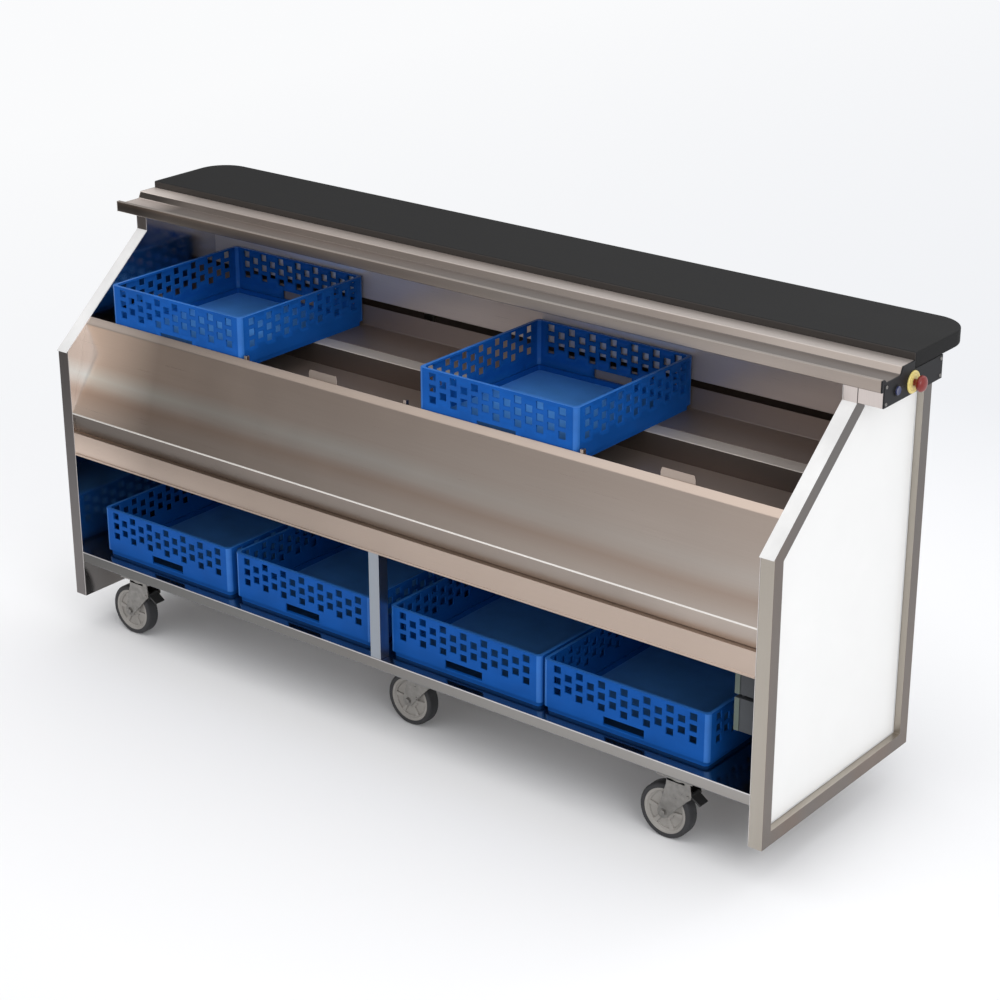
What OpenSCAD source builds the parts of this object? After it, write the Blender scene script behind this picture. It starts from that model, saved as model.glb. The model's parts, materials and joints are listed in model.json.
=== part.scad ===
// A free-standing stainless bar counter on swivel casters, with glass baskets in an upper well
// and on a lower shelf. Millimetres, +Z up, the floor at z = 0, the operator's side toward -Y.
// Inside the modules x is measured from the middle of the counter, y from its front plane
// toward the customer's side and z from the floor. place() moves them to the part's origin.

/* [Side frames] */
// Width over the side frames beyond four baskets side by side
spare_w = 390; // [360:5:700]
// Depth of a side frame beyond one basket
spare_d = 195; // [190:1:300]
// Side of the folded frame section
tube = 38; // [30:1:50]
// Thickness of the frame's sheet
frame_sheet = 2; // [1.5:0.5:3]
// Height of the front corner above the lower edge of the frame
corner_h = 760; // [700:5:860]
// Depth of the slope in front of the top
slope_run = 330; // [310:5:350]
// Height of the slope
slope_rise = 278; // [260:2:300]
// Height of the upright step between the slope and the bar top
step_h = 62; // [60:1:90]
// Depth of the panel behind the outer face of its frame
panel_recess = 20; // [10:1:24]
// Thickness of the cover strip on the slope
cap_sheet = 2; // [1:0.5:3]
// How far the cover strip runs past the front corner
cap_overrun = 6; // [2:1:10]

/* [Sheet metal] */
// Thickness of the formed sheets
sheet = 2; // [1.5:0.5:3]
// Thickness of the inner side sheets
liner = 2; // [1:0.5:3]

/* [Lower bay] */
// Height of the frame's lower edge above the floor
ground_gap = 100; // [80:5:120]
// Height of the lower shelf's surface above the frame's lower edge
shelf_rise = 141; // [136:1:170]
// Height of the shelf's front flange
shelf_flange = 29; // [22:1:34]
// Height of the lower opening above the shelf
bay_h = 306; // [280:1:330]
// Height of the apron above the opening
apron_h = 68; // [50:1:80]
// Depth of the apron
apron_d = 38; // [30:1:45]
// Width of the centre post
post_w = 35; // [25:1:40]
// Middle of the centre post from the middle of the counter
post_x = -19.5; // [-24:0.5:-18]

/* [Front fascia] */
// Height of the fold at the foot of the sloping sheet above the apron
fold_rise = 59; // [40:1:80]
// Height of the rim's upper edge above the front corner
rim_rise = 81; // [70:1:95]
// Length of the rim along the slope
rim_l = 26; // [18:1:36]

/* [Upper well] */
// Depth of the surface that the upper baskets stand on below the rim's upper edge
rim_drop = 36; // [26:1:46]
// Depth of the open trough in the well's front half
trough_depth = 60; // [30:5:100]
// Width of the seat behind the rim
seat_w = 34; // [24:1:50]
// Distance from the well's back wall to the front edge of the middle rail
mid_rail_in = 209; // [180:1:240]
// Width of the middle rail
mid_rail_w = 53; // [35:1:70]
// Depth of the frame behind the front face of the well's back wall
wall_set = 93; // [75:1:96]
// Height of the upstand behind the well
upstand_h = 60; // [40:1:75]
// Height of the dark slot above the upstand
slot_h = 18; // [10:1:24]
// Number of basket places
place_n = 4; // [3:1:4]
// Gap between the left side sheet and a basket in the first place
place_gap_left = 91.5; // [10:0.5:100]
// Gap between a basket in the last place and the right side sheet
place_gap_right = 27.7; // [10:0.1:100]
// Width of a locating tab
tab_w = 100; // [60:1:115]
// Height of a locating tab above the rim
tab_h = 21; // [12:1:34]

/* [Bar top] */
// Thickness of the bar top
top_t = 40; // [25:1:45]
// Overhang of the bar top past each side frame
top_over = 69; // [45:1:90]
// Overhang of the bar top past the back of the frames
top_back = 62; // [20:1:90]
// Radius of the bar top's two back corners
top_r = 90; // [40:5:120]
// How far the service ledge stands in front of the slope's upper end
ledge_over = 10; // [6:1:18]
// Depth of the service ledge
ledge_d = 151; // [130:1:170]
// Height of the ledge's front lip
lip_h = 30; // [22:1:34]
// Height of the ledge's rear flat above the bar top's underside
ledge_rise = 21; // [14:1:24]
// Depth of the ledge's rear flat
ledge_flat = 56; // [40:1:70]

/* [Controls] */
// Depth of the control box
control_d = 275; // [200:5:300]
// Height of the control box
control_h = 60; // [58:1:62]
// Thickness of the control plate
plate_t = 4; // [2:0.5:6]
// Diameter of the yellow ring
ring_dia = 57; // [50:1:57]
// Diameter of the mushroom head
mushroom_dia = 40; // [30:1:44]
// Travel of the mushroom head
mushroom_travel = 5; // [2:0.5:6]
// Place of the mushroom head behind the front of the control box
mushroom_in = 133; // [110:1:170]
// Diameter of the small push button
button_dia = 22; // [14:1:26]
// Travel of the small push button
button_travel = 2.5; // [1:0.5:3]
// Place of the small push button behind the front of the control box
button_in = 58; // [35:1:70]

/* [Baskets] */
// Side of a square basket
basket_w = 500; // [400:1:600]
// Height of a basket
basket_h = 145; // [120:1:150]
// Thickness of a basket's wall
basket_wall = 4; // [3:0.5:6]
// Radius of a basket's corners
basket_r = 12; // [11:1:30]
// Width of a hand hole
hand_w = 124; // [90:1:130]
// Height of a hand hole
hand_h = 25; // [18:1:28]
// Columns of windows along one wall
window_n = 13; // [3:2:17]
// Rows of windows in the first column, where the next column has one fewer
window_rows = 3; // [2:1:4]
// Width of a window
window_w = 22; // [10:1:26]
// Height of a window
window_h = 20; // [10:1:24]
// Front face of the lower baskets from the front plane
lower_basket_y = 41; // [38:1:70]
// Gap between the rim and an upper basket
rim_gap = 1.85; // [0.5:0.05:5]
// Gap between the left side sheet and the first lower basket
lower_gap_1 = 63; // [5:1:80]
// Gap between the second lower basket and the centre post
lower_gap_2 = 31; // [5:1:50]
// Gap between the centre post and the third lower basket
lower_gap_3 = 1; // [1:0.5:30]
// Gap between the third and the fourth lower basket
lower_gap_4 = 9; // [2:1:60]

/* [Electrical unit] */
// Width of the unit
unit_w = 75; // [60:1:110]
// Depth of the unit
unit_d = 200; // [120:5:260]
// Height of the upper box
unit_upper_h = 76; // [40:1:90]
// Gap between the boxes
unit_gap = 10; // [8:1:24]
// Height of the lower box
unit_lower_h = 87; // [50:1:100]
// Front face of the unit from the front plane
unit_y = 40; // [40:1:80]

/* [Casters] */
// Diameter of a wheel
wheel_dia = 150; // [140:1:154]
// Width of a tyre
tyre_w = 38; // [30:1:40]
// Thickness of a tyre
tyre_t = 13; // [8:1:16]
// Height from the floor to the mounting face
caster_h = 192; // [190:1:194]
// Horizontal distance from the swivel axis to the axle
trail = 42; // [35:1:50]
// Swivel axes of the left casters from the left side frame's outer face
caster_left = 219; // [180:1:300]
// Swivel axes of the middle casters from the middle of the counter
caster_mid = 37; // [-60:1:60]
// Swivel axes of the right casters from the right side frame's outer face
caster_right = 273; // [180:1:300]
// Swivel axes of the corner casters behind the front plane
caster_y = 70; // [60:1:90]
// Swivel axis of the middle caster behind the front plane
mid_caster_y = 137; // [120:1:150]
// Diameter of the axle bolt
axle_dia = 12; // [10:1:14]
// Spacing of the plate's bolt holes along the counter
plate_pitch_x = 80; // [70:1:84]
// Spacing of the plate's bolt holes across the counter
plate_pitch_y = 60; // [50:1:64]
// Diameter of the plate's bolt holes
plate_bore = 8.4; // [6.4:0.1:9]

/* [Hidden] */
$fn = 48;

// Directions of the slope and places that several pieces share
slope_a = atan2(slope_rise, slope_run);
frame_w = 4 * basket_w + spare_w;
frame_d = basket_w + spare_d;
corner_z = ground_gap + corner_h;
slope_top_z = corner_z + slope_rise;
under_top = slope_top_z + step_h;
shelf_z = ground_gap + shelf_rise;
bay_top_z = shelf_z + bay_h;
ledge_y = slope_run - ledge_over;
top_y = ledge_y + ledge_d;
outer_x = frame_w / 2;
inner_x = outer_x - tube;
liner_x = inner_x - liner;
top_x = outer_x + top_over;
back_y = frame_d + top_back;
front_y = -(cap_overrun * cos(slope_a) + cap_sheet * sin(slope_a));
// Frame of the customer's side
back_tube = 30;
back_member = 34;
back_frame_y = frame_d - back_tube;
back_foot_z = shelf_z - shelf_flange;
back_panel_t = 12;
bay_n = 3;
apron_top_z = bay_top_z + apron_h;
apron_lip_t = 2;
apron_lip_h = 6;
// Rim, well and ledge profiles
fold_z = apron_top_z + fold_rise;
rim_z = corner_z + rim_rise;
well_z = rim_z - rim_drop;
back_wall_y = frame_d - wall_set;
mid_rail_y = back_wall_y - mid_rail_in;
rim_y = (rim_z - corner_z) / tan(slope_a);
fold_inset = 16;
foot_flange = 16;
trough_y = rim_y + seat_w;
trough_z = well_z - trough_depth;
deck_y = mid_rail_y + mid_rail_w;
tab_t = 3;
tab_taper = 4;
divider_w = 10;
divider_d = 12;
divider_h = 8;
first_place_x = -liner_x + place_gap_left + basket_w / 2;
place_shift = 16;
place_pitch = (2 * liner_x - place_gap_left - place_gap_right - basket_w) / (place_n - 1);
wall_flange = 30;
lip_rise = 9;
lip_top_z = under_top + sheet + lip_rise;
lip_hem = 8;
crown_w = 12;
groove_slope = 9;
ledge_end_t = 2;
// Chassis under the shelf
rail_wall = 3;
rail_inset = 28;
rail_d = 162;
cross_w = 50;
cross_n = 3;
post_wall = 2;
post_inset = 2;
// Controls
box_wall = 2;
box_gap = 2;
box_y = slope_run + box_gap;
mushroom_y = box_y + mushroom_in;
button_y = box_y + button_in;
ring_t = 5;
stem_dia = 16;
barrel_dia = 22;
barrel_l = 24;
fit = 0.05;
head_t = 20;
head_gap = 4;
control_z = under_top - control_h / 2;
collar_t = 3;
cap_proud = 0.5;
cap_out = collar_t + button_travel + cap_proud;
collar_w = 3;
flange_t = 2;
flange_w = 2.5;
gap = 0.3;
stop_out = ring_t + head_gap + mushroom_travel + head_t;
// Part origin: the middle of the footprint, on the floor
mid_x = stop_out / 2;
mid_y = (front_y + back_y) / 2;
// Baskets
window_margin = 45;
window_drop = 18;
window_pitch_z = 31;
window_pitch = (basket_w - 2 * window_margin) / (window_n - 1);
upper_basket_y = rim_y + rim_gap;
basket_floor = 4;
foot_h = 14;
foot_inset = 6;
rim_w = 9;
rim_h = 7;
// Electrical unit
unit_wall = 2;
spacer_dia = 8;
spacer_inset = 14;
trim_w = 14;
trim_t = 2;
inlet_t = 8;
inlet_w = 28;
inlet_h = 20;
inlet_depth = 5;
unit_x = liner_x - unit_w;
unit_upper_z = bay_top_z - unit_upper_h;
unit_lower_z = unit_upper_z - unit_gap - unit_lower_h;
lower_basket_x = [-liner_x + lower_gap_1, post_x - post_w / 2 - lower_gap_2 - basket_w,
    post_x + post_w / 2 + lower_gap_3,
    post_x + post_w / 2 + lower_gap_3 + basket_w + lower_gap_4];
// Casters
caster_x = [-outer_x + caster_left, caster_mid, outer_x - caster_right];
caster_plate_t = 4;
plate_edge = 12.5;
race_dia = 64;
race_t = 10;
king_dia = 20;
crown_t = 8;
nut_dia = 30;
nut_t = 8;
leg_t = 4;
tyre_gap = 3;
boss_dia = 40;
hub_inset = 2;
axle_head = 4;
axle_head_over = 4;
leg_r = 17;
crown_front = 34;
crown_back = 34;
bolt_head_dia = 15;
bolt_head_h = 5;
bolt_dia = 8;
bolt_past = 6;
hub_dish = 5;
hub_rim_w = 8;
hub_slant = 3;
pivot_x = 30;
pivot_z = 141;
pivot_dia = 6;
pivot_r = 9;
pivot_flat = 4;
pedal_l = 30;
pedal_t = 5;
pedal_w = 34;
pedal_drop = 20;
pedal_set = -0.5;
barrel_wall = 3;
barrel_end = 1;
shoe_w = 28;
shoe_t = 6;
brake_angle = 22;
// Screws
screw_dia = 9;
screw_h = 2.4;
screw_inset = 22;
plate_screw_inset = 9;

// Unit vector, its left-hand normal and the mitred offset of a folded sheet's bend points
function unit_of(v) = v / norm(v);
function left_of(v) = [-v[1], v[0]];
function normal_after(p, i) = left_of(unit_of(p[i + 1] - p[i]));
function bend_offset(p, i, t) =
    let (last = len(p) - 1,
        a = normal_after(p, max(i - 1, 0)),
        b = normal_after(p, min(i, last - 1)))
    p[i] + (a + b) * t / (1 + a * b);
// Outline of a sheet that follows the points p, with its thickness t on the left of the way
function folded(p, t) =
    concat(p, [for (i = [len(p) - 1:-1:0]) bend_offset(p, i, t)]);

// Outline of a side frame, drawn in by d on every side
function side_outline(d) =
    let (rise = tan(slope_a), drop = d / cos(slope_a))
    [[d, ground_gap + d],
        [d, corner_z + d * rise - drop],
        [slope_run + d, corner_z + (slope_run + d) * rise - drop],
        [slope_run + d, under_top - d],
        [frame_d - d, under_top - d],
        [frame_d - d, ground_gap + d]];

// Point on the slope at the distance s below the rim's upper edge
function on_slope(s) = [rim_y - s * cos(slope_a), rim_z - s * sin(slope_a)];

function ledge_path() =
    [[ledge_y + lip_hem, lip_top_z - lip_h],
        [ledge_y, lip_top_z - lip_h],
        [ledge_y, lip_top_z],
        [ledge_y + crown_w, lip_top_z],
        [ledge_y + crown_w + groove_slope, under_top + sheet],
        [top_y - ledge_flat - groove_slope, under_top + sheet],
        [top_y - ledge_flat, under_top + ledge_rise],
        [top_y, under_top + ledge_rise],
        [top_y, under_top]];

module place() {
    translate([-mid_x, -mid_y, 0]) children();
}

// Extrudes a profile drawn in y and z from x0 to x1
module along_x(x0, x1) {
    translate([x0, 0, 0]) rotate([90, 0, 90]) linear_extrude(x1 - x0) children();
}

// Copies a side piece to the left or right end: side is -1 or 1
module at_side(side) {
    if (side < 0) mirror([1, 0, 0]) children();
    else children();
}

module ring_outline(d0, d1) {
    difference() {
        polygon(side_outline(d0));
        polygon(side_outline(d1));
    }
}

module side_frame(side) {
    color("lightgray") place() at_side(side) difference() {
        along_x(inner_x, outer_x) ring_outline(0, tube);
        along_x(inner_x - 1, outer_x - frame_sheet) ring_outline(frame_sheet, tube - frame_sheet);
    }
}

module side_panel(side) {
    color("white") place() at_side(side)
        along_x(inner_x, outer_x - panel_recess) polygon(side_outline(tube));
}

module slope_covers() {
    way = [cos(slope_a), sin(slope_a)];
    foot = [0, corner_z] - cap_overrun * way;
    head = [slope_run, slope_top_z];
    color("whitesmoke") place() for (side = [-1, 1]) at_side(side)
        along_x(liner_x, outer_x) polygon([foot, head,
            head + [0, cap_sheet / cos(slope_a)],
            foot + cap_sheet * left_of(way)]);
}

module side_liners() {
    color("silver") place() for (side = [-1, 1]) at_side(side)
        along_x(liner_x, inner_x) polygon(side_outline(0));
}

module lower_shelf() {
    path = [[0, back_foot_z], [0, shelf_z], [back_frame_y, shelf_z], [back_frame_y, back_foot_z]];
    color("silver") place() along_x(-liner_x, liner_x) polygon(folded(path, -sheet));
}

// Hollow rectangular tube along x, open at its ends
module tube_x(x0, x1, y0, d, z0, h, wall) {
    difference() {
        translate([x0, y0, z0]) cube([x1 - x0, d, h]);
        translate([x0 - 1, y0 + wall, z0 + wall]) cube([x1 - x0 + 2, d - 2 * wall, h - 2 * wall]);
    }
}

module chassis_rails() {
    rail_h = shelf_z - sheet - caster_h;
    rear_y = back_frame_y - rail_inset - rail_d;
    span = rear_y - rail_inset - rail_d;
    color("gray") place() {
        difference() {
            for (y = [rail_inset, rear_y])
                tube_x(-liner_x, liner_x, y, rail_d, caster_h, rail_h, rail_wall);
            for (column = [0:2], row = [0, 1])
                at_caster(column, row) at_plate_holes() translate([0, 0, caster_h - 1])
                    cylinder(h = rail_wall + 2, d = plate_bore);
        }
        for (i = [0:cross_n - 1])
            translate([(i - (cross_n - 1) / 2) * frame_w / (cross_n + 1) - cross_w / 2,
                rail_inset + rail_d, caster_h]) difference() {
                cube([cross_w, span, rail_h]);
                translate([rail_wall, -1, rail_wall])
                    cube([cross_w - 2 * rail_wall, span + 2, rail_h - 2 * rail_wall]);
            }
    }
}

module centre_posts() {
    post_h = bay_top_z - shelf_z;
    color("silver") place()
        for (y = [post_inset, back_frame_y - post_w])
            translate([post_x - post_w / 2, y, shelf_z]) difference() {
                cube([post_w, post_w, post_h]);
                translate([post_wall, post_wall, -1])
                    cube([post_w - 2 * post_wall, post_w - 2 * post_wall, post_h + 2]);
            }
}

module bay_ceiling() {
    color("silver") place() translate([-liner_x, apron_d, bay_top_z])
        cube([2 * liner_x, back_frame_y - apron_d, sheet]);
}

module front_fascia() {
    path = [[rim_y + seat_w, well_z], [rim_y, well_z], on_slope(0), on_slope(rim_l),
        [0, fold_z], [fold_inset, apron_top_z], [fold_inset + foot_flange, apron_top_z]];
    color("silver") place() along_x(-liner_x, liner_x) polygon(folded(path, sheet));
}

module front_apron() {
    color("tan") place() {
        tube_x(-liner_x, liner_x, 0, apron_d, bay_top_z, apron_h, sheet);
        translate([-liner_x, -apron_lip_t, bay_top_z]) cube([2 * liner_x, apron_lip_t, apron_lip_h]);
    }
}

module well_tray() {
    path = [[trough_y, well_z - sheet], [trough_y, trough_z], [deck_y, trough_z], [deck_y, well_z],
        [back_wall_y - sheet, well_z], [back_wall_y - sheet, well_z + upstand_h]];
    color("dimgray") place() along_x(-liner_x, liner_x) polygon(folded(path, -sheet));
}

module middle_rail() {
    path = [[mid_rail_y, trough_z], [mid_rail_y, well_z], [deck_y, well_z], [deck_y, trough_z]];
    color("silver") place() along_x(-liner_x, liner_x) polygon(folded(path, -sheet));
}

module back_wall() {
    foot_z = well_z + upstand_h + slot_h;
    path = [[back_wall_y + wall_flange, foot_z], [back_wall_y, foot_z],
        [back_wall_y, under_top], [back_wall_y + wall_flange, under_top]];
    color("silver") place() along_x(-liner_x, liner_x) polygon(folded(path, -sheet));
}

// Upright plate behind the rim: full width at its foot, drawn in at its head
module locating_tabs() {
    color("gainsboro") place() for (bay = [1:2:place_n - 1])
        translate([first_place_x + bay * place_pitch - place_shift, rim_y + tab_t, well_z])
        rotate([90, 0, 0])
            linear_extrude(tab_t) polygon([[-tab_w / 2, 0], [tab_w / 2, 0],
                [tab_w / 2, rim_z - well_z + tab_h / 2],
                [tab_w / 2 - tab_taper, rim_z - well_z + tab_h],
                [-tab_w / 2 + tab_taper, rim_z - well_z + tab_h],
                [-tab_w / 2, rim_z - well_z + tab_h / 2]]);
}

module place_dividers() {
    color("silver") place() for (bay = [0:place_n - 2])
        translate([first_place_x + (bay + 0.5) * place_pitch - place_shift - divider_w / 2, rim_y, well_z])
            cube([divider_w, divider_d, rim_z - well_z + divider_h]);
}

// Area between the ledge's sheet and the frames, which closes its ends
module ledge_end() {
    polygon(concat(ledge_path(), [[slope_run, under_top], [slope_run, lip_top_z - lip_h]]));
}

module service_ledge() {
    color("silver") place() {
        along_x(-top_x + ledge_end_t, top_x - plate_t) polygon(folded(ledge_path(), -sheet));
        along_x(-top_x, -top_x + ledge_end_t) ledge_end();
    }
}

module bar_top() {
    color([0.2, 0.2, 0.2]) place() translate([0, 0, under_top]) linear_extrude(top_t) {
        translate([-top_x, top_y]) square([2 * top_x, back_y - top_r - top_y]);
        translate([-top_x + top_r, top_y]) square([2 * (top_x - top_r), back_y - top_y]);
        for (side = [-1, 1])
            translate([side * (top_x - top_r), back_y - top_r]) circle(top_r);
    }
}

module control_box() {
    color([0.15, 0.15, 0.15]) place()
        tube_x(outer_x, top_x - plate_t, box_y, control_d, under_top - control_h, control_h, box_wall);
}

// Cylinder along x
module rod_x(x0, x1, dia) {
    translate([x0, 0, 0]) rotate([0, 90, 0]) cylinder(h = x1 - x0, d = dia);
}

module control_plate() {
    foot_z = under_top - control_h;
    color([0.12, 0.12, 0.13]) place() difference() {
        union() {
            along_x(top_x - plate_t, top_x) {
                translate([box_y, foot_z]) square([control_d, control_h]);
                ledge_end();
            }
            translate([0, button_y, control_z]) rod_x(top_x - 1, top_x + collar_t,
                button_dia + 2 * fit + 2 * collar_w);
        }
        translate([0, mushroom_y, control_z])
            rod_x(top_x - plate_t - 1, top_x + 1, barrel_dia + 2 * fit);
        translate([0, button_y, control_z])
            rod_x(top_x - plate_t - 1, top_x + collar_t + 1, button_dia + 2 * fit);
    }
}

module stop_ring() {
    color("gold") place() translate([0, mushroom_y, control_z]) difference() {
        union() {
            rod_x(top_x, top_x + ring_t, ring_dia);
            rod_x(top_x - barrel_l, top_x + 1, barrel_dia);
        }
        rod_x(top_x - barrel_l - 1, top_x + ring_t + 1, stem_dia + 2 * fit);
    }
}

module stop_button() {
    head_x = top_x + ring_t + head_gap + mushroom_travel;
    dome = 5;
    color("red") place() translate([0, mushroom_y, control_z]) {
        rod_x(top_x - barrel_l + mushroom_travel, head_x + 1, stem_dia);
        translate([head_x, 0, 0]) rotate([0, 90, 0]) rotate_extrude()
            polygon([[0, 0], [mushroom_dia * 0.36, 0], [mushroom_dia / 2, head_t * 0.35],
                [mushroom_dia / 2, head_t - dome], [mushroom_dia * 0.42, head_t - 1],
                [mushroom_dia * 0.3, head_t], [0, head_t]]);
    }
}

module reset_button() {
    back_x = top_x - plate_t - gap;
    color("lightblue") place() translate([0, button_y, control_z]) {
        rod_x(back_x - flange_t, top_x + cap_out, button_dia);
        rod_x(back_x - flange_t, back_x, button_dia + 2 * flange_w);
    }
}

// Outline of a basket with rounded corners, drawn in by d on every side
module inset_square(d) {
    far = basket_w - basket_r;
    translate([basket_r, d]) square([basket_w - 2 * basket_r, basket_w - 2 * d]);
    translate([d, basket_r]) square([basket_w - 2 * d, basket_w - 2 * basket_r]);
    for (x = [basket_r, far], y = [basket_r, far]) translate([x, y]) circle(basket_r - d);
}

// Basket with its front left corner at the origin
module basket() {
    step_z = foot_h + basket_wall;
    top_row = basket_h - window_drop;
    difference() {
        union() {
            linear_extrude(step_z) inset_square(foot_inset);
            translate([0, 0, foot_h]) linear_extrude(basket_h - foot_h) inset_square(0);
        }
        translate([0, 0, basket_floor]) linear_extrude(basket_h)
            inset_square(foot_inset + basket_wall);
        translate([0, 0, step_z]) linear_extrude(basket_h) inset_square(basket_wall);
        for (i = [0:window_n - 1], j = [0:window_rows - 1 - i % 2]) {
            along = window_margin + i * window_pitch - window_w / 2;
            up = top_row - (j + i % 2 / 2) * window_pitch_z - window_h / 2;
            translate([along, -1, up]) cube([window_w, basket_w + 2, window_h]);
            translate([-1, along, up]) cube([basket_w + 2, window_w, window_h]);
        }
        translate([(basket_w - hand_w) / 2, -1, step_z]) cube([hand_w, basket_w + 2, hand_h]);
    }
    translate([0, 0, basket_h - rim_h]) linear_extrude(rim_h) difference() {
        inset_square(0);
        inset_square(rim_w);
    }
}

module upper_basket(bay) {
    color("royalblue") place()
        translate([first_place_x + bay * place_pitch - basket_w / 2, upper_basket_y, well_z + gap])
            basket();
}

module lower_basket(i) {
    color("royalblue") place()
        translate([lower_basket_x[i], lower_basket_y, shelf_z + gap]) basket();
}

module unit_upper_box() {
    color([0.3, 0.31, 0.32]) place() translate([unit_x, unit_y, unit_upper_z]) difference() {
        cube([unit_w, unit_d, unit_upper_h]);
        translate([unit_wall, unit_wall, unit_wall])
            cube([unit_w - 2 * unit_wall, unit_d - 2 * unit_wall, unit_upper_h]);
    }
}

module unit_lower_box() {
    color([0.25, 0.26, 0.27]) place() translate([unit_x, unit_y, unit_lower_z]) {
        difference() {
            cube([unit_w, unit_d, unit_lower_h]);
            translate([unit_wall, unit_wall, unit_wall])
                cube([unit_w - 2 * unit_wall, unit_d, unit_lower_h - 2 * unit_wall]);
        }
        for (x = [spacer_inset, unit_w - spacer_inset], y = [spacer_inset, unit_d - spacer_inset])
            translate([x, y, unit_lower_h]) cylinder(h = unit_gap, d = spacer_dia);
    }
}

// Light edge strips on the front left corner of both boxes
module unit_edge_trim() {
    color([0.75, 0.8, 0.76]) place()
        for (box = [[unit_upper_z, unit_upper_h], [unit_lower_z, unit_lower_h]])
            translate([unit_x - trim_t, unit_y - trim_t, box[0]]) difference() {
                cube([trim_w, trim_w, box[1]]);
                translate([trim_t, trim_t, -1]) cube([trim_w, trim_w, box[1] + 2]);
            }
}

module power_inlet() {
    y0 = unit_y + unit_d;
    color([0.08, 0.08, 0.08]) place() difference() {
        translate([unit_x, y0, unit_lower_z]) cube([unit_w, inlet_t, unit_lower_h]);
        translate([unit_x + (unit_w - inlet_w) / 2, y0 + inlet_t - inlet_depth,
            unit_lower_z + (unit_lower_h - inlet_h) / 2]) cube([inlet_w, inlet_t, inlet_h]);
    }
}

bay_w = (2 * liner_x - (bay_n + 1) * back_member) / bay_n;

module back_openings(depth) {
    for (i = [0:bay_n - 1])
        translate([-liner_x + back_member + i * (bay_w + back_member), 0,
            back_foot_z + back_member])
            cube([bay_w, depth, under_top - back_foot_z - 2 * back_member]);
}

module back_frame() {
    color("silver") place() translate([0, back_frame_y, 0]) difference() {
        translate([-liner_x, 0, back_foot_z])
            cube([2 * liner_x, back_tube, under_top - back_foot_z]);
        translate([0, -1, 0]) back_openings(back_tube + 2);
    }
}

module customer_panels() {
    color("white") place()
        translate([0, back_frame_y + (back_tube - back_panel_t) / 2, 0]) back_openings(back_panel_t);
}

module panel_screws() {
    face_y = back_frame_y + (back_tube + back_panel_t) / 2;
    z0 = back_foot_z + back_member + screw_inset;
    z1 = under_top - back_member - screw_inset;
    color("silver") place() {
        for (i = [0:bay_n - 1], side = [0, 1], z = [z0, (z0 + z1) / 2, z1]) {
            x0 = -liner_x + back_member + i * (bay_w + back_member);
            translate([x0 + (side == 0 ? screw_inset : bay_w - screw_inset), face_y, z])
                rotate([-90, 0, 0]) cylinder(h = screw_h, d = screw_dia);
        }
        for (y = [box_y + plate_screw_inset, box_y + control_d - plate_screw_inset],
            z = [under_top - control_h + plate_screw_inset, under_top - plate_screw_inset])
            translate([0, y, z]) rod_x(top_x, top_x + screw_h, screw_dia);
    }
}

// Swivel axis of a caster: column 0 to 2 along the counter, row 0 in front and 1 behind
function swivel_y(column, row) =
    let (inset = column == 1 ? mid_caster_y : caster_y)
    row == 0 ? inset : back_frame_y - inset;

module at_caster(column, row) {
    translate([caster_x[column], swivel_y(column, row), 0]) children();
}

module at_plate_holes() {
    for (x = [-1, 1], y = [-1, 1])
        translate([x * plate_pitch_x / 2, y * plate_pitch_y / 2, 0]) children();
}

module caster_plate() {
    plate_z = caster_h - caster_plate_t;
    race_z = plate_z - race_t;
    crown_z = race_z - gap - crown_t;
    w = plate_pitch_x + 2 * plate_edge;
    d = plate_pitch_y + 2 * plate_edge;
    difference() {
        translate([-w / 2, -d / 2, plate_z]) cube([w, d, caster_plate_t]);
        at_plate_holes() translate([0, 0, plate_z - 1])
            cylinder(h = caster_plate_t + 2, d = plate_bore);
    }
    translate([0, 0, race_z]) cylinder(h = race_t, d = race_dia);
    translate([0, 0, crown_z - gap - nut_t]) cylinder(h = nut_t, d = nut_dia);
    translate([0, 0, crown_z - gap - 1]) cylinder(h = race_z - crown_z + gap + 2, d = king_dia);
}

module caster_plates() {
    color("lightgray") place() for (column = [0:2], row = [0, 1])
        at_caster(column, row) caster_plate();
}

// Hexagon bolts that go up through the plates into the rails
module caster_bolts() {
    head_z = caster_h - caster_plate_t - bolt_head_h;
    color("silver") place() for (column = [0:2], row = [0, 1])
        at_caster(column, row) at_plate_holes() {
            translate([0, 0, head_z]) cylinder(h = bolt_head_h, d = bolt_head_dia, $fn = 6);
            translate([0, 0, head_z + bolt_head_h - 1])
                cylinder(h = 1 + caster_plate_t + rail_wall + bolt_past, d = bolt_dia);
        }
}

leg_y = tyre_w / 2 + tyre_gap;
crown_top = caster_h - caster_plate_t - race_t - gap;

// Side view of one fork leg, with the axle at [-trail, wheel_dia / 2]
module leg_outline() {
    polygon([[-crown_back, crown_top], [crown_front, crown_top], [crown_front, crown_top - crown_t],
        [pivot_x + pivot_r, pivot_z + pivot_flat], [pivot_x + pivot_r, pivot_z - pivot_flat],
        [pivot_x, pivot_z - pivot_r],
        [-trail + leg_r, wheel_dia / 2], [-trail - leg_r, wheel_dia / 2]]);
    translate([-trail, wheel_dia / 2]) circle(leg_r);
}

// Cylinder along y
module rod_y(y0, y1, dia) {
    translate([0, y0, 0]) rotate([-90, 0, 0]) cylinder(h = y1 - y0, d = dia);
}

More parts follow.
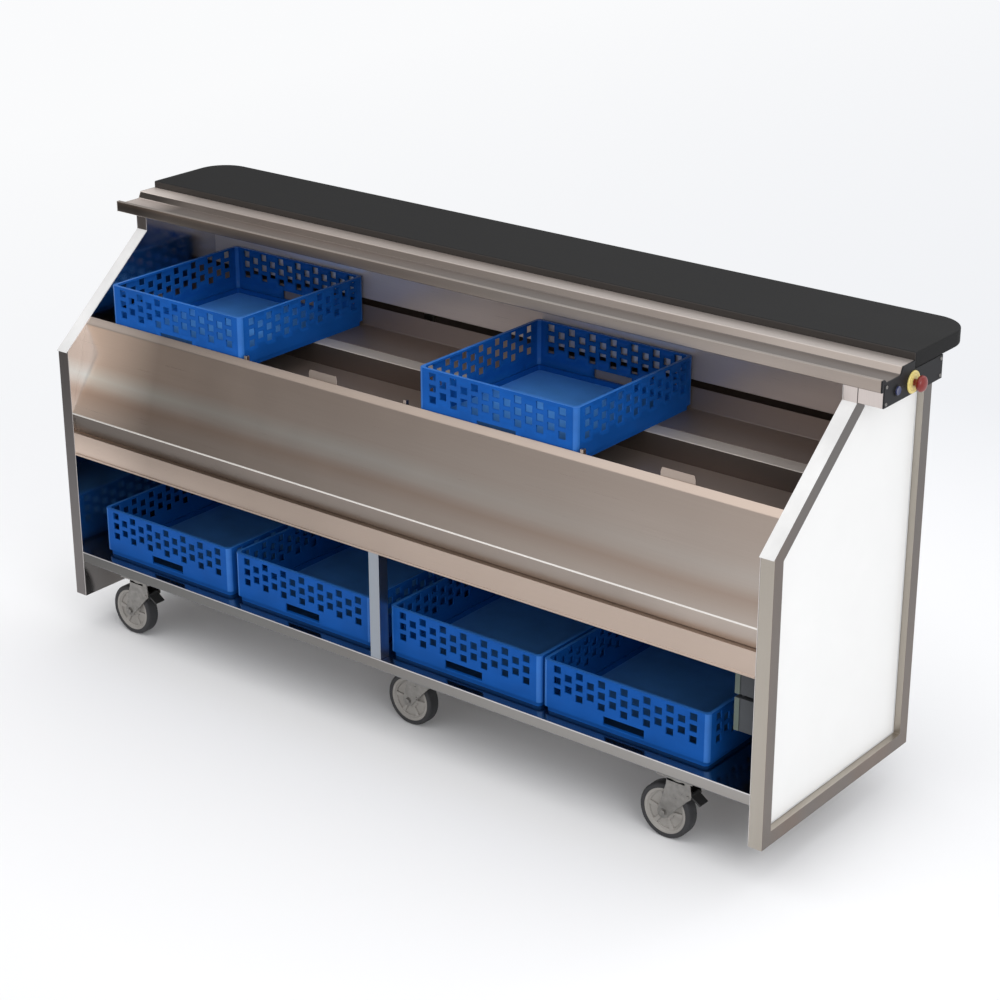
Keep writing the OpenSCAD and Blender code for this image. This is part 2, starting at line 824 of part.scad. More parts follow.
module fork() {
    difference() {
        union() {
            translate([-crown_back, -leg_y - leg_t, crown_top - crown_t])
                cube([crown_back + crown_front, 2 * (leg_y + leg_t), crown_t]);
            for (y = [-leg_y - leg_t, leg_y])
                translate([0, y + leg_t, 0]) rotate([90, 0, 0]) linear_extrude(leg_t) leg_outline();
            translate([-trail, 0, wheel_dia / 2]) {
                rod_y(-leg_y - leg_t - axle_head, leg_y + leg_t + axle_head, axle_dia);
                rod_y(-leg_y - leg_t - axle_head, -leg_y - leg_t + 1, axle_dia + 2 * axle_head_over);
                rod_y(leg_y + leg_t - 1, leg_y + leg_t + axle_head, axle_dia + 2 * axle_head_over);
            }
            translate([pivot_x, 0, pivot_z]) rod_y(-leg_y - 1, leg_y + 1, pivot_dia);
        }
        translate([0, 0, crown_top - crown_t - 1]) cylinder(h = crown_t + 2, d = king_dia + 2 * fit);
    }
}

module at_axle() {
    translate([-trail, 0, wheel_dia / 2]) children();
}

module hub() {
    rim = wheel_dia / 2 - tyre_t;
    half = tyre_w / 2 - hub_inset;
    dish_r = rim - hub_rim_w;
    at_axle() rotate([-90, 0, 0]) rotate_extrude() polygon([
        [axle_dia / 2 + fit, -leg_y + gap], [boss_dia / 2, -leg_y + gap],
        [boss_dia / 2, -half + hub_dish], [dish_r, -half + hub_dish], [dish_r + hub_slant, -half], [rim, -half],
        [rim, half], [dish_r + hub_slant, half], [dish_r, half - hub_dish], [boss_dia / 2, half - hub_dish],
        [boss_dia / 2, leg_y - gap], [axle_dia / 2 + fit, leg_y - gap]]);
}

module tyre() {
    r = wheel_dia / 2;
    half = tyre_w / 2;
    shoulder = 3;
    at_axle() rotate([-90, 0, 0]) rotate_extrude() polygon([
        [r - tyre_t, -half], [r - shoulder, -half], [r, -half + shoulder],
        [r, half - shoulder], [r - shoulder, half], [r - tyre_t, half]]);
}

// Distance from the brake's pivot to the tread, and the direction of the axle below the horizontal
tread_gap = norm([pivot_x + trail, pivot_z - wheel_dia / 2]) - wheel_dia / 2;
axle_a = atan2(pivot_z - wheel_dia / 2, pivot_x + trail);
shoe_l = sqrt(pow(tread_gap - gap, 2) - pow(shoe_t / 2, 2));

// Pedal in front of the pivot, with a shoe behind it that turns against the tread
module brake() {
    half = pedal_w / 2;
    barrel_r = pivot_dia / 2 + barrel_wall;
    slope = atan2(pedal_drop, pedal_l);
    reach = norm([pedal_l, pedal_drop]);
    bore_r = pivot_dia / 2 + fit;
    root = bore_r + 0.5;
    translate([pivot_x, 0, pivot_z]) {
        difference() {
            rod_y(-half - barrel_end, half + barrel_end, 2 * barrel_r);
            rod_y(-half - barrel_end - 1, half + barrel_end + 1, 2 * bore_r);
        }
        translate([0, -half, 0]) rotate([0, slope, 0])
            translate([root, 0, pedal_set]) cube([reach - root, pedal_w, pedal_t]);
        translate([0, -shoe_w / 2, 0]) rotate([0, 180 - axle_a - brake_angle, 0])
            translate([root, 0, -shoe_t / 2]) cube([shoe_l - root, shoe_w, shoe_t]);
    }
}

module caster_fork(column, row) {
    color("silver") place() at_caster(column, row) fork();
}

module caster_hub(column, row) {
    color("gainsboro") place() at_caster(column, row) hub();
}

module caster_tyre(column, row) {
    color([0.2, 0.2, 0.21]) place() at_caster(column, row) tyre();
}

module caster_brake(column, row) {
    color([0.15, 0.15, 0.15]) place() at_caster(column, row) brake();
}

side_frame(-1);  // side_frame_left
side_frame(1);  // side_frame_right
side_panel(-1);  // side_panel_left
side_panel(1);  // side_panel_right
slope_covers();
side_liners();
lower_shelf();
chassis_rails();
centre_posts();
bay_ceiling();
front_fascia();
front_apron();
well_tray();
middle_rail();
back_wall();
locating_tabs();
place_dividers();
service_ledge();
bar_top();
control_box();
control_plate();
stop_ring();
stop_button();
reset_button();
unit_upper_box();
unit_lower_box();
unit_edge_trim();
power_inlet();
upper_basket(0);  // upper_basket_1
upper_basket(2);  // upper_basket_3
lower_basket(0);  // lower_basket_1
lower_basket(1);  // lower_basket_2
lower_basket(2);  // lower_basket_3
lower_basket(3);  // lower_basket_4
back_frame();
customer_panels();
caster_plates();
caster_bolts();
caster_fork(0, 0);  // fork_fl
caster_fork(1, 0);  // fork_fm
caster_fork(2, 0);  // fork_fr
caster_fork(0, 1);  // fork_rl
caster_fork(1, 1);  // fork_rm
caster_fork(2, 1);  // fork_rr
caster_hub(0, 0);  // hub_fl
caster_hub(1, 0);  // hub_fm
caster_hub(2, 0);  // hub_fr
caster_hub(0, 1);  // hub_rl
caster_hub(1, 1);  // hub_rm
caster_hub(2, 1);  // hub_rr
caster_tyre(0, 0);  // tyre_fl
caster_tyre(1, 0);  // tyre_fm
caster_tyre(2, 0);  // tyre_fr
caster_tyre(0, 1);  // tyre_rl
caster_tyre(1, 1);  // tyre_rm
caster_tyre(2, 1);  // tyre_rr
caster_brake(0, 0);  // brake_fl
caster_brake(2, 0);  // brake_fr
panel_screws();
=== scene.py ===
"""Looks of the mobile bar: finishes, folded sheets, glass baskets, controls and casters.

Lengths are in metres. Places are given as on a bench: x from the middle of the counter, y from its
front plane toward the customer's side and z from the floor. Datum turns them into the frame's own.
"""

import json
import logging
import math
from dataclasses import dataclass, replace
from enum import Enum
from typing import Callable, Iterable, Sequence

import bmesh
import bpy
from mathutils import Matrix, Vector

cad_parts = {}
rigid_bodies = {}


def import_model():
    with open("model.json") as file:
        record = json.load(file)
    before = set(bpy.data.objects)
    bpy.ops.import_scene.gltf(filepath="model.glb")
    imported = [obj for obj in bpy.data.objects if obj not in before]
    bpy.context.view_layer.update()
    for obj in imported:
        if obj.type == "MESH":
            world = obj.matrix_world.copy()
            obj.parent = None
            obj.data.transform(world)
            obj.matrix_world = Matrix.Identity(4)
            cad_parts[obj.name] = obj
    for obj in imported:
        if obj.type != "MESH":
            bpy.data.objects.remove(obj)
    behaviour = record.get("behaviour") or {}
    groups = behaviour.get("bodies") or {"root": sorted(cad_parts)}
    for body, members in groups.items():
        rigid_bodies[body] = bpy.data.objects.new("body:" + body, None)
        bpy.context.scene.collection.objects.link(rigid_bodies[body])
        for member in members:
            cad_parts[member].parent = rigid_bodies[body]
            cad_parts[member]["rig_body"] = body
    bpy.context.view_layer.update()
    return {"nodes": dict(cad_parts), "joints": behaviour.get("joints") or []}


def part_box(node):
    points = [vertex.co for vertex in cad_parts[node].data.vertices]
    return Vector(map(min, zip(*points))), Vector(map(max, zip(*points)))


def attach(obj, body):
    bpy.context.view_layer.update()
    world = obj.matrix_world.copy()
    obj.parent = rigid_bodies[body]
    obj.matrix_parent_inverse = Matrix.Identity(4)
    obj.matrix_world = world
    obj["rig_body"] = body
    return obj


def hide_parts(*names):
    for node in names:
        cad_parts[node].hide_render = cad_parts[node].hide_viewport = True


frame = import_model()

log = logging.getLogger("mobile_bar")

Triple = tuple[float, float, float]
Colour = Triple
Point = tuple[float, float]
Stops = tuple[Point, ...]
FaceTest = Callable[[bmesh.types.BMFace], bool]

BLACK = (0.0, 0.0, 0.0)
ALONG_X = Vector((1, 0, 0))
ALONG_Y = Vector((0, 1, 0))

# A face looks along an axis where its normal's share of it is over FACING, and leans that way where
# it is over SLANTED. Edges over SHARP_ANGLE stay sharp, and those under FLAT_ANGLE are dissolved.
# Corners nearer than SAME_PLACE are merged.
FACING = 0.9
SLANTED = 0.6
SHARP_ANGLE = math.radians(32)
FLAT_ANGLE = math.radians(0.6)
SAME_PLACE = 0.00002


# Shader graphs


class Value:
    """A shader socket that takes part in Python arithmetic."""

    def __init__(self, graph: "Nodes", socket: bpy.types.NodeSocket) -> None:
        """Keeps the graph and its socket."""
        self.graph = graph
        self.socket = socket

    def _maths(self, operation: str, first: "Value | float", second: "Value | float") -> "Value":
        """Returns the Math node's result on two values."""
        return self.graph.node("ShaderNodeMath", {"operation": operation}, {0: first, 1: second})

    def __add__(self, other: "Value | float") -> "Value":
        """Returns the sum."""
        return self._maths("ADD", self, other)

    __radd__ = __add__

    def __mul__(self, other: "Value | float") -> "Value":
        """Returns the product."""
        return self._maths("MULTIPLY", self, other)

    __rmul__ = __mul__

    def __sub__(self, other: "Value | float") -> "Value":
        """Returns the difference."""
        return self._maths("SUBTRACT", self, other)

    def __rsub__(self, other: "Value | float") -> "Value":
        """Returns the difference from a plain number."""
        return self._maths("SUBTRACT", other, self)

    def over(self, other: "Value | float") -> "Value":
        """Returns the quotient."""
        return self._maths("DIVIDE", self, other)

    def larger(self, other: "Value | float") -> "Value":
        """Returns the larger of two values."""
        return self._maths("MAXIMUM", self, other)

    def between(self, low: float, high: float, start: float = 0.0, end: float = 1.0) -> "Value":
        """Maps the value from low..high to start..end, held inside that range.

        Args:
            low: value that maps to start.
            high: value that maps to end.
            start: first result.
            end: last result.

        Returns:
            The mapped value.
        """
        numbers = {"Value": self, "From Min": low, "From Max": high, "To Min": start, "To Max": end}
        return self.graph.node("ShaderNodeMapRange", {"clamp": True}, numbers)

    def axis(self, name: str) -> "Value":
        """Returns the X, Y or Z part of a vector."""
        return self.graph.node("ShaderNodeSeparateXYZ", {}, {0: self}, name)


class Nodes:
    """A node tree whose nodes are made in one way."""

    def __init__(self, tree: bpy.types.NodeTree) -> None:
        """Empties the tree and keeps it."""
        self.tree = tree
        tree.nodes.clear()

    def connect(self, target: bpy.types.NodeSocket, value: object) -> None:
        """Links a value to a socket, or writes a plain one into it.

        Args:
            target: the input socket.
            value: a Value, a number, a colour or a vector.
        """
        if isinstance(value, Value):
            self.tree.links.new(value.socket, target)
        elif target.type == "RGBA" and len(value) == 3:
            target.default_value = (*value, 1.0)
        else:
            target.default_value = value

    def node(self, kind: str, settings: dict, inputs: dict, output: str | int = 0) -> Value:
        """Adds a node.

        Args:
            kind: the node's type.
            settings: the node's own properties.
            inputs: values or links of its sockets, by name or number.
            output: the output to return.

        Returns:
            The chosen output as a value.
        """
        made = self.tree.nodes.new(kind)
        for name, value in settings.items():
            setattr(made, name, value)
        for name, value in inputs.items():
            self.connect(made.inputs[name], value)
        return Value(self, made.outputs[output])

    def ray(self, kind: str) -> Value:
        """Returns 1 for a ray of that kind, and 0 for any other."""
        return self.node("ShaderNodeLightPath", {}, {}, f"Is {kind} Ray")

    def seen(self) -> Value:
        """Returns 1 for a ray from the camera, a mirror or glass, and 0 for any other."""
        return self.ray("Camera").larger(self.ray("Glossy")).larger(self.ray("Transmission"))

    def mixed_shader(self, factor: Value, first: Value, second: Value) -> Value:
        """Returns the shader between first and second at the factor."""
        return self.node("ShaderNodeMixShader", {}, {0: factor, 1: first, 2: second})


class Graph(Nodes):
    """Node tree of one material that ends in a Principled shader."""

    def __init__(self, name: str) -> None:
        """Makes the material with its shader and output.

        Args:
            name: the material's name.
        """
        self.material = bpy.data.materials.new(name)
        self.material.use_nodes = True
        super().__init__(self.material.node_tree)
        self.shader = self.tree.nodes.new("ShaderNodeBsdfPrincipled")
        self.output = self.tree.nodes.new("ShaderNodeOutputMaterial")
        self.tree.links.new(self.shader.outputs["BSDF"], self.output.inputs["Surface"])
        self.place = self.node("ShaderNodeTexCoord", {}, {}, "Object")

    def noise(self, scale: Sequence[float], detail: float = 2.0, rough: float = 0.5) -> Value:
        """Returns noise whose waves per metre are set for each axis.

        Args:
            scale: waves per metre along x, y and z.
            detail: octaves of finer waves.
            rough: strength of the finer waves.

        Returns:
            The noise, about 0.5 in the mean.
        """
        place = self.node("ShaderNodeMapping", {}, {"Vector": self.place, "Scale": tuple(scale)})
        inputs = {"Vector": place, "Scale": 1.0, "Detail": detail, "Roughness": rough}
        return self.node("ShaderNodeTexNoise", {}, inputs, "Fac")

    def tint(self, factor: Value, low: Colour | Value, high: Colour | Value) -> Value:
        """Mixes two colours.

        Args:
            factor: the share of the second colour.
            low: the colour at 0.
            high: the colour at 1.

        Returns:
            The mixed colour.
        """
        colours = {"Factor": factor, "A": low, "B": high}
        mix = self.tree.nodes.new("ShaderNodeMix")
        mix.data_type = "RGBA"
        sockets = {s.name: s for s in mix.inputs if s.enabled}
        for name, value in colours.items():
            self.connect(sockets[name], value)
        return Value(self, next(s for s in mix.outputs if s.enabled))

    def bump(self, height: Value, distance: float, strength: float = 1.0) -> Value:
        """Returns the normal that a height map in metres gives."""
        inputs = {"Height": height, "Distance": distance, "Strength": strength}
        return self.node("ShaderNodeBump", {}, inputs, "Normal")

    def shade(self, **sockets: object) -> bpy.types.Material:
        """Sets the shader's sockets and returns the material.

        Args:
            **sockets: socket names with underscores for spaces, and their values.

        Returns:
            The finished material.
        """
        for name, value in sockets.items():
            self.connect(self.shader.inputs[name.replace("_", " ")], value)
        return self.material


class Grain(Enum):
    """Direction of the brushing on steel, as waves per metre along x, y and z."""

    ALONG = (3.0, 900.0, 900.0)
    UPRIGHT = (900.0, 900.0, 3.0)


STREAK_WAVES = {Grain.ALONG: (0.5, 4.6, 4.6), Grain.UPRIGHT: (4.6, 4.6, 0.5)}
# Brown of the random brushing streaks, and of the painted dark reflection band along the fascia.
STREAK_AND_REFLECTION_BROWN = (0.3, 0.19, 0.13)


def mixed(first: Colour, second: Colour, share: float) -> Colour:
    """Returns the colour that lies a share of the way from first to second."""
    return tuple(a + (b - a) * share for a, b in zip(first, second))


def scaled(colour: Colour, factor: float) -> Colour:
    """Returns the colour made lighter or darker."""
    return tuple(min(1.0, c * factor) for c in colour)


@dataclass(frozen=True)
class ReflectionBand:
    """A painted reflection along a sheet: a brown band of painted dark reflection, with a pale band
    of painted highlight above it that fades along x.
    """

    z: float
    below: float = 0.045
    above: float = 0.03
    strength: float = 0.85
    drift: float = 0.05
    drift_waves: float = 0.9
    band: Triple = (0.01, 0.05, 0.09)
    band_light: float = 1.5
    fades: Point = (-0.9, 0.6)
    band_end: float = 0.2

    def height(self, g: Graph) -> Value:
        """Returns the height over the floor, which wavers a little."""
        drift = (g.noise((self.drift_waves,) * 3, 1.0) - 0.5) * self.drift
        return g.place.axis("Z") + drift

    def brown(self, height: Value) -> Value:
        """Returns the share of the painted brown reflection at a height."""
        rising = height.between(self.z - self.below, self.z)
        return rising * height.between(self.z, self.z + self.above, 1.0, 0.0) * self.strength

    def shine(self, g: Graph, height: Value) -> Value:
        """Returns the share of the pale band, a painted highlight.

        Args:
            g: the material's graph.
            height: the wavering height.

        Returns:
            The share at each place.
        """
        start, middle, end = (self.z + rise for rise in self.band)
        band = height.between(start, middle) * height.between(middle, end, 1.0, 0.0)
        return band * g.place.axis("X").between(*self.fades, 1.0, self.band_end)


@dataclass(frozen=True)
class BrushedSteel:
    """Satin stainless sheet with fine brushing, faint clouds and wiped smears, and optionally
    painted light and shade along x and a painted reflection band.
    """

    name: str
    colour: Colour = (0.47, 0.4, 0.35)
    grain: Grain = Grain.ALONG
    roughness: float = 0.3
    metallic: float = 1.0
    streaks: float = 0.6
    # Optional painted reflection: a brown band at one height with a pale painted highlight above
    # it.
    reflection_band: ReflectionBand | None = None
    # Light stops: x places with factors of painted light and shade that brighten or darken the
    # colour along the counter.
    light: Stops = ()
    slot: str = "stainless"
    cloud_waves: Triple = (1.3, 1.9, 1.7)
    smear_waves: Triple = (5.0, 9.0, 4.0)
    cloud_share: float = 0.65
    contrast: float = 0.08
    line_roughness: float = 0.12
    smear_roughness: float = 0.05
    line_depth: float = 0.00004

    def level(self, g: Graph, peak: float) -> Value:
        """Returns the painted light and shade along x.

        Args:
            g: the material's graph.
            peak: the lightest stretch's factor.

        Returns:
            The factor at each place, as a share of the peak.
        """
        along = g.place.axis("X")
        level = along * 0.0 + self.light[0][1] / peak
        for (start, before), (end, after) in zip(self.light, self.light[1:]):
            level = level + along.between(start, end, 0.0, (after - before) / peak)
        return level

    def material(self) -> bpy.types.Material:
        """Mixes the finish.

        Returns:
            The finish as a material.
        """
        g = Graph(self.name)
        peak = max((factor for _, factor in self.light), default=1.0)
        colour = scaled(self.colour, peak)
        lines = g.noise(self.grain.value, 3.0, 0.6)
        clouds = g.noise(self.cloud_waves, 3.0)
        smears = g.noise(self.smear_waves, 4.0, 0.6).between(0.5, 0.72)
        tone = (lines * (1 - self.cloud_share) + clouds * self.cloud_share).between(0.3, 0.7)
        base = g.tint(tone, scaled(colour, 1 - self.contrast), scaled(colour, 1 + self.contrast))
        share = g.noise(STREAK_WAVES[self.grain], 2.0, 0.4).between(0.42, 0.62) * self.streaks
        # Painted reflection band: brown at its height, with a pale painted highlight band above it.
        if self.reflection_band:
            height = self.reflection_band.height(g)
            share = share.larger(self.reflection_band.brown(height))
            pale = scaled(colour, self.reflection_band.band_light)
            base = g.tint(self.reflection_band.shine(g, height), base, pale)
        base = g.tint(share, base, mixed(colour, scaled(STREAK_AND_REFLECTION_BROWN, peak), 0.5))
        # Painted light and shade along x from the light stops.
        if self.light:
            base = g.tint(self.level(g, peak), BLACK, base)
        wear = lines * self.line_roughness + smears * self.smear_roughness
        return g.shade(
            Base_Color=base,
            Metallic=self.metallic,
            Roughness=wear + (self.roughness - self.line_roughness / 2),
            Normal=g.bump(lines, self.line_depth),
        )


@dataclass(frozen=True)
class ZincPlate:
    """Bright zinc plating with a faint crystalline mottle."""

    name: str = "zinc_plate"
    slot: str = "zinc"
    colour: Colour = (0.27, 0.26, 0.245)
    roughness: float = 0.22
    mottle_depth: float = 0.00006

    def material(self) -> bpy.types.Material:
        """Mixes the finish.

        Returns:
            The finish as a material.
        """
        g = Graph(self.name)
        mottle = g.noise((60.0, 60.0, 60.0), 3.0)
        grime = g.noise((14.0, 14.0, 22.0), 4.0, 0.6).between(0.52, 0.75)
        dark, pale = scaled(self.colour, 0.86), scaled(self.colour, 1.08)
        base = g.tint(mottle.between(0.35, 0.65), dark, pale)
        return g.shade(
            Base_Color=g.tint(grime * 0.5, base, scaled(self.colour, 0.55)),
            Metallic=1.0,
            Roughness=mottle * 0.16 + grime * 0.12 + self.roughness,
            Normal=g.bump(mottle, self.mottle_depth),
        )


@dataclass(frozen=True)
class Coating:
    """Paint or powder coat with a fine orange-peel surface."""

    name: str
    slot: str
    colour: Colour
    roughness: float = 0.45
    peel: float = 0.00005
    metallic: float = 0.0
    gloss: float = 0.5

    def material(self) -> bpy.types.Material:
        """Mixes the finish.

        Returns:
            The finish as a material.
        """
        g = Graph(self.name)
        peel = g.noise((420.0, 420.0, 420.0), 2.0)
        dust = g.noise((7.0, 7.0, 7.0), 4.0, 0.6)
        clean, dusty = scaled(self.colour, 0.94), scaled(self.colour, 1.12)
        return g.shade(
            Base_Color=g.tint(dust.between(0.35, 0.75), clean, dusty),
            Metallic=self.metallic,
            Roughness=dust * 0.1 + (self.roughness - 0.05),
            Specular_IOR_Level=self.gloss,
            Normal=g.bump(peel, self.peel),
        )


@dataclass(frozen=True)
class Laminate:
    """High-pressure laminate with a pebbled surface."""

    name: str
    slot: str
    colour: Colour
    roughness: float = 0.5
    pebble: float = 0.00006
    gloss: float = 0.5
    wear: float = 0.05

    def material(self) -> bpy.types.Material:
        """Mixes the finish.

        Returns:
            The finish as a material.
        """
        g = Graph(self.name)
        pebble = g.noise((260.0, 260.0, 260.0), 2.0, 0.4)
        wiped = g.noise((2.6, 5.5, 5.5), 4.0, 0.55)
        dark, pale = scaled(self.colour, 1 - self.wear), scaled(self.colour, 1 + self.wear)
        return g.shade(
            Base_Color=g.tint(wiped.between(0.3, 0.7), dark, pale),
            Roughness=wiped * 0.14 + pebble * 0.06 + (self.roughness - 0.1),
            Specular_IOR_Level=self.gloss,
            Normal=g.bump(pebble, self.pebble),
        )


@dataclass(frozen=True)
class MouldedPlastic:
    """Injection-moulded plastic with faint flow marks and scuffs."""

    name: str
    slot: str
    colour: Colour
    roughness: float = 0.4
    coat: float = 0.0
    gloss: float = 0.5
    dark_corner: Point | None = None
    shade_x: Point = (0.2, 0.05)
    shade_y: Point = (0.06, 0.26)
    corner_light: float = 0.16
    scuff_colour: Colour = (0.6, 0.65, 0.75)
    skin_depth: float = 0.00003

    def corner_shade(self, g: Graph, base: Value) -> Value:
        """Darkens the plastic toward a corner that tall walls shade.

        Args:
            g: the material's graph.
            base: the plastic's colour.

        Returns:
            The colour with its dark corner.
        """
        x, y = self.dark_corner
        open_x = g.place.axis("X").between(x - self.shade_x[0], x - self.shade_x[1], 1.0, 0.0)
        open_y = g.place.axis("Y").between(y + self.shade_y[0], y + self.shade_y[1])
        return g.tint(open_x * open_y, scaled(self.colour, self.corner_light), base)

    def material(self) -> bpy.types.Material:
        """Mixes the finish.

        Returns:
            The finish as a material.
        """
        g = Graph(self.name)
        flow = g.noise((9.0, 9.0, 16.0), 3.0)
        skin = g.noise((700.0, 700.0, 700.0), 1.0)
        scuffs = g.noise((45.0, 45.0, 160.0), 5.0, 0.7).between(0.6, 0.78)
        base = g.tint(flow.between(0.3, 0.7), scaled(self.colour, 0.9), scaled(self.colour, 1.1))
        if self.dark_corner:
            base = self.corner_shade(g, base)
        return g.shade(
            Base_Color=g.tint(scuffs * 0.2, base, mixed(self.colour, self.scuff_colour, 0.12)),
            Roughness=flow * 0.08 + scuffs * 0.15 + (self.roughness - 0.04),
            Specular_IOR_Level=self.gloss,
            Normal=g.bump(skin + flow * 4.0, self.skin_depth),
            Coat_Weight=self.coat,
        )


@dataclass(frozen=True)
class TyreRubber:
    """Dark grey rubber with dust in its pores."""

    name: str = "tyre_rubber"
    slot: str = "tyre_grey"
    colour: Colour = (0.024, 0.024, 0.026)
    roughness: float = 0.66
    dust_light: float = 2.6
    pore_depth: float = 0.0001

    def material(self) -> bpy.types.Material:
        """Mixes the finish.

        Returns:
            The finish as a material.
        """
        g = Graph(self.name)
        pores = g.noise((520.0, 520.0, 520.0), 3.0, 0.6)
        dust = g.noise((26.0, 26.0, 26.0), 5.0, 0.65).between(0.48, 0.78)
        return g.shade(
            Base_Color=g.tint(dust * 0.4, self.colour, scaled(self.colour, self.dust_light)),
            Roughness=dust * 0.15 + self.roughness,
            Normal=g.bump(pores, self.pore_depth),
        )


Finish = BrushedSteel | ZincPlate | Coating | Laminate | MouldedPlastic | TyreRubber


class Paintbox:
    """Hands out one material for each finish."""

    def __init__(self) -> None:
        """Starts with no material made."""
        self.made: dict[str, bpy.types.Material] = {}

    def material(self, finish: Finish) -> bpy.types.Material:
        """Makes a finish's material at its first use, and hands out the same one later.

        Args:
            finish: the finish.

        Returns:
            Its material.
        """
        if finish.name not in self.made:
            self.made[finish.name] = finish.material()
        return self.made[finish.name]


STEEL_ALONG = BrushedSteel("steel_brushed_along")
# Fascia: painted light along x, brightest at the left end, and a painted brown reflection with a
# pale highlight above the fold.
STEEL_FASCIA = BrushedSteel(
    "steel_fascia", streaks=0.45, reflection_band=ReflectionBand(0.735),
    light=((-1.15, 1.8), (-1.02, 1.36), (-0.87, 0.74), (-0.67, 0.74), (-0.27, 0.86), (0.5, 0.95),
           (1.1, 1.06)),
)
# Shelf: painted shade at the left end, turning into painted light toward the right.
STEEL_SHELF = BrushedSteel(
    "steel_shelf", (0.41, 0.405, 0.39),
    light=((-1.15, 0.34), (-0.85, 0.42), (-0.45, 0.48), (0.0, 0.58), (0.5, 0.75), (0.95, 0.87)),
)
# Pale copy for the shelf's front bend: a painted highlight.
STEEL_NOSE_HIGHLIGHT = BrushedSteel(
    "steel_nose_highlight", (0.6, 0.59, 0.6), roughness=0.36, metallic=0.7, streaks=0.1
)
# Bluish copy for the centre posts: a painted reflection of the blue baskets.
STEEL_BLUE_REFLECTION = BrushedSteel("steel_blue_reflection", (0.34, 0.375, 0.42), Grain.UPRIGHT, streaks=0.2)
# Pale copy for lit faces: the right frame's upright over the slope and the control box, painted
# light.
STEEL_STEP_LIT = BrushedSteel("steel_step_lit", (0.72, 0.64, 0.6), Grain.UPRIGHT, streaks=0.2)
# Dark copy for the ledge's groove band: painted shade and dark reflection, with painted light at
# the left end.
STEEL_GROOVE = BrushedSteel(
    "steel_groove", (0.18, 0.165, 0.155), roughness=0.4, metallic=0.6,
    light=((-1.27, 3.4), (-1.19, 2.8), (-1.1, 0.9), (1.1, 0.78)),
)
# Darker copy for the ledge's crown band: painted shade.
STEEL_CROWN = BrushedSteel("steel_crown", (0.32, 0.295, 0.27), roughness=0.4, metallic=0.6)
# Ledge lip: painted shade at the left end and painted light toward the right end.
STEEL_LIP = BrushedSteel(
    "steel_lip", (0.36, 0.32, 0.29),
    light=((-1.2, 0.4), (-1.08, 0.86), (-0.25, 0.8), (0.25, 0.86), (0.6, 0.92), (0.95, 1.2)),
)
STEEL_MIRROR = BrushedSteel("steel_mirror", (0.72, 0.69, 0.67), Grain.UPRIGHT, 0.14)
STEEL_UPRIGHT = BrushedSteel(
    "steel_brushed_upright", (0.44, 0.405, 0.355), Grain.UPRIGHT, streaks=0.3
)
# Dark copy for the whole left frame: painted shade.
STEEL_DIM = BrushedSteel("steel_dim", (0.2, 0.185, 0.18), Grain.UPRIGHT, 0.36)
# Dark copy for the frames' outer flanks: painted shade and dark reflection.
STEEL_FLANK_SHADE = BrushedSteel("steel_flank_shade", (0.2, 0.184, 0.172), Grain.UPRIGHT, 0.42)
# Pale copy for the walls round the sunk panels: painted light.
STEEL_RECESS_LIT = BrushedSteel("steel_recess_lit", (0.86, 0.78, 0.73), Grain.UPRIGHT, 0.45, 0.35, 0.2)
# Band under the fascia's fold: a darker copy for painted dark reflection, with painted light rising
# toward the right.
STEEL_BAND_REFLECTION = BrushedSteel(
    "steel_band_reflection", (0.3, 0.26, 0.23), roughness=0.46,
    light=((-1.15, 0.55), (-0.87, 0.62), (-0.6, 0.72), (-0.45, 0.9), (0.0, 1.05), (0.75, 1.36),
           (0.95, 1.7)),
)
# Rim faces: painted light and shade along x, darker toward the right.
STEEL_RIM = BrushedSteel(
    "steel_rim", (0.44, 0.41, 0.38), roughness=0.42, streaks=0.2,
    light=((-0.3, 0.95), (0.6, 0.78)),
)
# Pale copy for the fascia's fold: a painted highlight.
STEEL_FOLD_HIGHLIGHT = BrushedSteel(
    "steel_fold_highlight", (0.86, 0.82, 0.77), roughness=0.36, metallic=0.7, streaks=0.1
)
# Pale copy for the back wall of the well: painted light.
STEEL_WALL_LIT = BrushedSteel("steel_wall_lit", (0.78, 0.71, 0.68), roughness=0.3, metallic=0.6)
# Pale copy for the middle rail: painted light.
STEEL_RAIL = BrushedSteel("steel_rail", (0.62, 0.565, 0.515), roughness=0.45, metallic=0.4)
# Ledge flat: painted light at the left end.
STEEL_LEDGE = BrushedSteel(
    "steel_ledge", (0.5, 0.46, 0.43), roughness=0.4, metallic=0.6,
    light=((-1.26, 1.8), (-1.18, 1.6), (-1.08, 1.0)),
)
STEEL_POLISHED = BrushedSteel("steel_polished", (0.44, 0.39, 0.35), roughness=0.16)
# Warm pale copy for the front apron: a painted warm reflection, with painted light and shade along
# x.
STEEL_WARM_LIT = BrushedSteel(
    "steel_warm_lit", (0.62, 0.5, 0.42), roughness=0.36, slot="warm_steel",
    light=((-1.15, 1.3), (-1.02, 1.15), (-0.87, 0.8), (-0.65, 0.74), (-0.25, 0.72), (0.1, 0.8),
           (1.1, 0.87)),
)
STEEL_SHADED = BrushedSteel("steel_shaded", (0.34, 0.28, 0.25), roughness=0.4, metallic=0.7)
# Near-black copy for faces that lie in shade: painted shade.
STEEL_DARK = BrushedSteel("steel_dark", (0.1, 0.08, 0.07), roughness=0.5, metallic=0.7)
ZINC = ZincPlate()
CHASSIS_PAINT = Coating("chassis_paint", "chassis_steel", (0.2, 0.2, 0.21), 0.5)
WHITE_BOARD = Laminate("white_board", "white_panel", (0.82, 0.815, 0.8), 0.4, 0.00002, wear=0.012)
WHITE_COVER = Coating("white_cover", "white_panel", (0.68, 0.675, 0.665), 0.5, 0.00002, gloss=0.3)
BLACK_LAMINATE = Laminate("black_laminate", "black_laminate", (0.018, 0.018, 0.018), 0.7, gloss=0.1)
